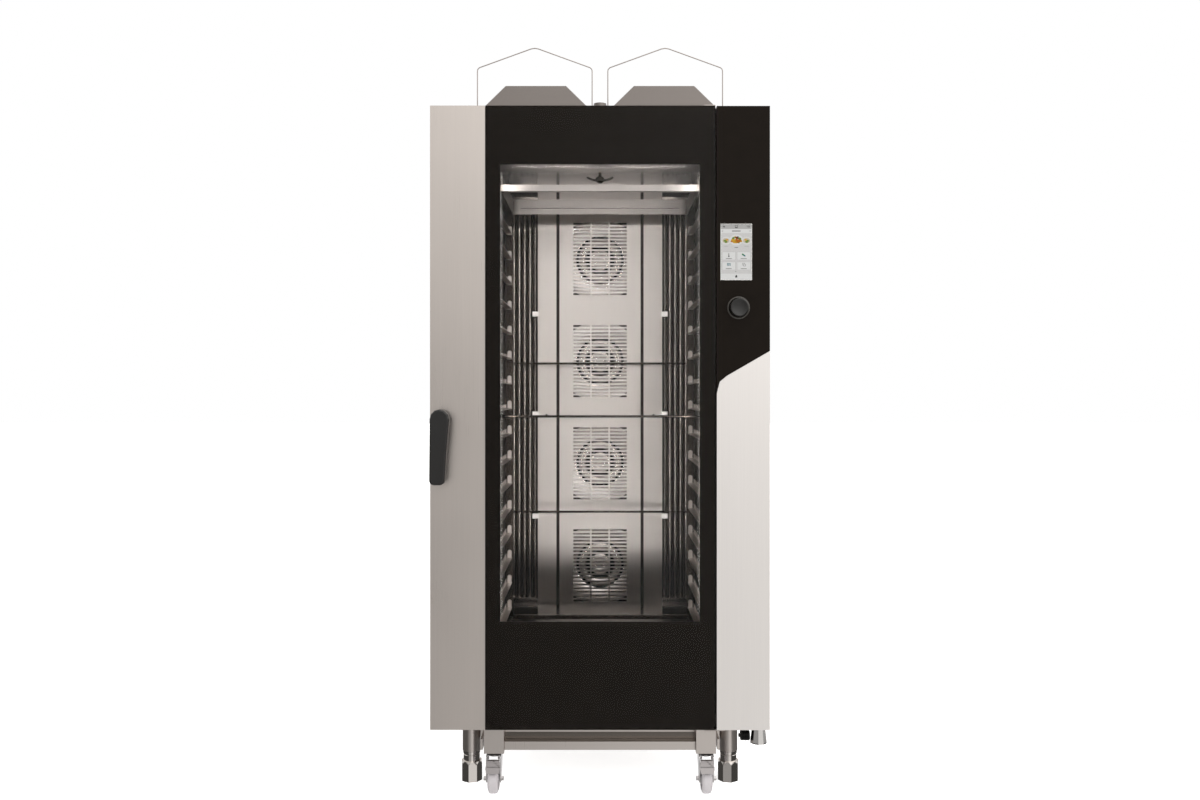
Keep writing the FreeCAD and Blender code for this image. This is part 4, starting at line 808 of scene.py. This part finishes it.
# Turned and polished, so each facet mirrors one tone of the room sharply.
polished_foot = steel("polished_turned_stainless", "#D6D1CD", 0.10, grain=0.0006, run=0.0006, marks=0.02)
foot_stand, flange_radius, flange_height = 0.371, 31 * MM, 57 * MM
half_facet = math.pi / 8
apothem = flange_radius * math.cos(half_facet)
neck = [(0, 56.5 * MM), (24 * MM, 56.5 * MM), (24 * MM, 74 * MM), (23 * MM, 75 * MM), (23 * MM, 78 * MM),
        (25 * MM, 79 * MM), (25 * MM, 85 * MM), (20 * MM, 86 * MM), (20 * MM, 178 * MM), (0, 178 * MM)]
for end, foot_y in (("front", -0.295), ("rear", 0.330)):
    for hand, foot_x, turn in (("left", -foot_stand, -10), ("right", foot_stand, 10)):
        foot = bmesh.new()
        turned = Matrix.Translation((0, 0, flange_height / 2)) @ Matrix.Rotation(math.radians(turn), 4, "Z")
        bmesh.ops.create_cone(foot, cap_ends=True, segments=64, radius1=flange_radius, radius2=flange_radius,
                              depth=flange_height, matrix=turned)
        for level in (2 * MM, 42 * MM, 44 * MM, 46 * MM, 48 * MM, 50 * MM, 52 * MM, 54 * MM):
            bmesh.ops.bisect_plane(foot, geom=[*foot.verts, *foot.edges, *foot.faces], plane_co=(0, 0, level),
                                   plane_no=(0, 0, 1))
        for vert in foot.verts:
            bearing = math.atan2(vert.co.y, vert.co.x) - math.radians(turn)
            off_corner = (bearing + half_facet) % (2 * half_facet) - half_facet
            reach = apothem / math.cos(half_facet - abs(off_corner))
            chamfer = 32.4 * MM - 0.30 * max(0.0, vert.co.z - 44 * MM) - 1.2 * MM * (vert.co.z < 1 * MM)
            radius = min(reach, chamfer)
            across = math.hypot(vert.co.x, vert.co.y)
            if across > 1 * MM:
                vert.co.x *= radius / across
                vert.co.y *= radius / across
        lathe(foot, neck, (0, 0, 0), (0, 0, 1), steps=48)
        bmesh.ops.translate(foot, vec=(foot_x, foot_y, 0), verts=foot.verts)
        piece(foot, f"turned_foot_{end}_{hand}", f"foot_{end}_{hand}", "foot_steel", polished_foot,
              replaced=[f"foot_{end}_{hand}"], crease=12)

# Chromed plastic: the brightest and sharpest mirror on the oven.
chrome = steel("chromed_shower_head", "#DAD8D6", 0.08, grain=0.0006, run=0.0006, marks=0.02)
shower_y, shower_x, outlet_x, outlet_z = -0.405, 0.442, 0.404, 0.163
head_profile = [(0, 145 * MM), (21.5 * MM, 145 * MM), (22 * MM, 143 * MM), (24 * MM, 143 * MM),
                (24.3 * MM, 146 * MM), (19 * MM, 187.9 * MM), (0, 187.9 * MM)]
shower = bmesh.new()
lathe(shower, head_profile, (shower_x, shower_y, 0), (0, 0, 1), steps=10)
piece(shower, "faceted_shower_head", "oven", "shower_chrome", chrome, replaced=["hand_shower"], crease=12)
rib_radii = [12, *[15.2, 13.2] * 6, 12]
ribs = [(radius * MM, (391 + 2 * step) * MM) for step, radius in enumerate(rib_radii)]
outlet_profile = [(0, 386 * MM), (5 * MM, 386 * MM), (6 * MM, 391 * MM), *ribs, (0, 417 * MM)]
reel = bmesh.new()
lathe(reel, outlet_profile, (0, shower_y, outlet_z), (1, 0, 0), steps=32)
lathe(reel, [(0, 176 * MM), (6 * MM, 176 * MM), (6 * MM, 187.9 * MM), (0, 187.9 * MM)],
      (outlet_x, shower_y, 0), (0, 0, 1), steps=16)
piece(reel, "ribbed_hose_outlet", "oven", "gland_plastic", black_moulding)


# Roof --------------------------------------------------------------------------------------------
# Two exhaust hoods of mill-finish sheet with a bent wire guard over each, and the cavity's vent pipe.
# The wire is 3.5 mm stainless, bent cold, so its corners are round.

# Mill finish is darker and more blurred than ground sheet, with faint lines along the rolling.
mill_sheet = steel("mill_finish_steel_sheet", "#837D79", 0.42, upright=False, grain=0.003, run=0.25)
finish_nodes(mill_sheet, "flue_hoods", "vent_pipe")
ease_edges(0.0015, "flue_hoods")
guard_low, guard_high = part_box("flue_guards")
guard_y = (guard_low[1] + guard_high[1]) / 2
wire_thick, hood_x, half, shoulder, peak = 3.5 * MM, 0.212, 0.1865, 2.160, 2.2355
left_leg = [(-half, guard_low[2]), (-half, shoulder), (-half + 1 * MM, 2.167), (-0.180, 2.1725),
            (-0.012, 2.2335)]
right_leg = [(-x, z) for x, z in reversed(left_leg)]
route = [*left_leg, (0, peak), *right_leg]
for hand, middle in (("left", -hood_x), ("right", hood_x)):
    line = bpy.data.curves.new(f"guard_line_{hand}", "CURVE")
    line.dimensions = "3D"
    line.bevel_depth = wire_thick / 2
    line.bevel_resolution = 3
    line.use_fill_caps = True
    wire = line.splines.new("POLY")
    wire.points.add(len(route) - 1)
    for point, (x, z) in zip(wire.points, route):
        point.co = (middle + x, guard_y, z, 1)
    bent = bpy.data.objects.new(f"guard_line_{hand}", line)
    bpy.context.collection.objects.link(bent)
    bpy.context.view_layer.update()
    guard_form = bmesh.new()
    guard_form.from_mesh(bpy.data.meshes.new_from_object(bent))
    bpy.data.objects.remove(bent)
    piece(guard_form, f"wire_guard_{hand}", "oven", "bright_steel", drawn_tube,
          replaced=["flue_guards"] if hand == "left" else (), crease=50)


# Rear connections --------------------------------------------------------------------------------
# Brass tails for gas and water stand out of the rear panel, with the drain pipe and the cable's gland.
# Each tail is turned from bar and has a cut pipe thread.

# Fresh brass: yellow, with a soft even shine.
turned_brass = steel("turned_brass", "#B9974F", 0.28, grain=0.0006, run=0.0006)
finish_nodes(turned_brass, "supply_inlets")
root_radius, crest_radius, half_pitch, thread_start = 13.1 * MM, 14.0 * MM, 0.9 * MM, 486 * MM
thread = [(root_radius if step % 2 else crest_radius, thread_start + half_pitch * step) for step in range(17)]
tail_spots = ((0.230, 0.260), (0.290, 0.260), (0.350, 0.330))
threads = bmesh.new()
for x, z in tail_spots:
    lathe(threads, thread, (x, 0, z), (0, 1, 0), steps=32)
piece(threads, "pipe_threads", "oven", "inlet_brass", turned_brass, crease=70)


# Seals and insulation ----------------------------------------------------------------------------
# A moulded silicone gasket lies on the front frame round the cavity's mouth, and a flat strip closes
# the gap beside the control column. Mineral wool batts fill the space round the liner.

# Silicone is black and matt, and catches the light only along its edge.
black_rubber = moulded("black_silicone_seal", "#121110", "#1A1918", 0.55)
finish_nodes(black_rubber, "door_seal")
# Wool with its binder is yellow-brown and swallows the light.
finish_nodes(moulded("mineral_wool_batt", "#A08C5B", "#C2AE7C", 0.9, 500.0, 0.6), "insulation")
seal_low, seal_high = (0.3185, -0.415, 0.190), (0.3219, -0.380, 1.9080)
edge_seal = bmesh.new()
block(edge_seal, seal_low, seal_high)
piece(edge_seal, "column_edge_seal", "oven", "gasket_rubber", black_rubber)
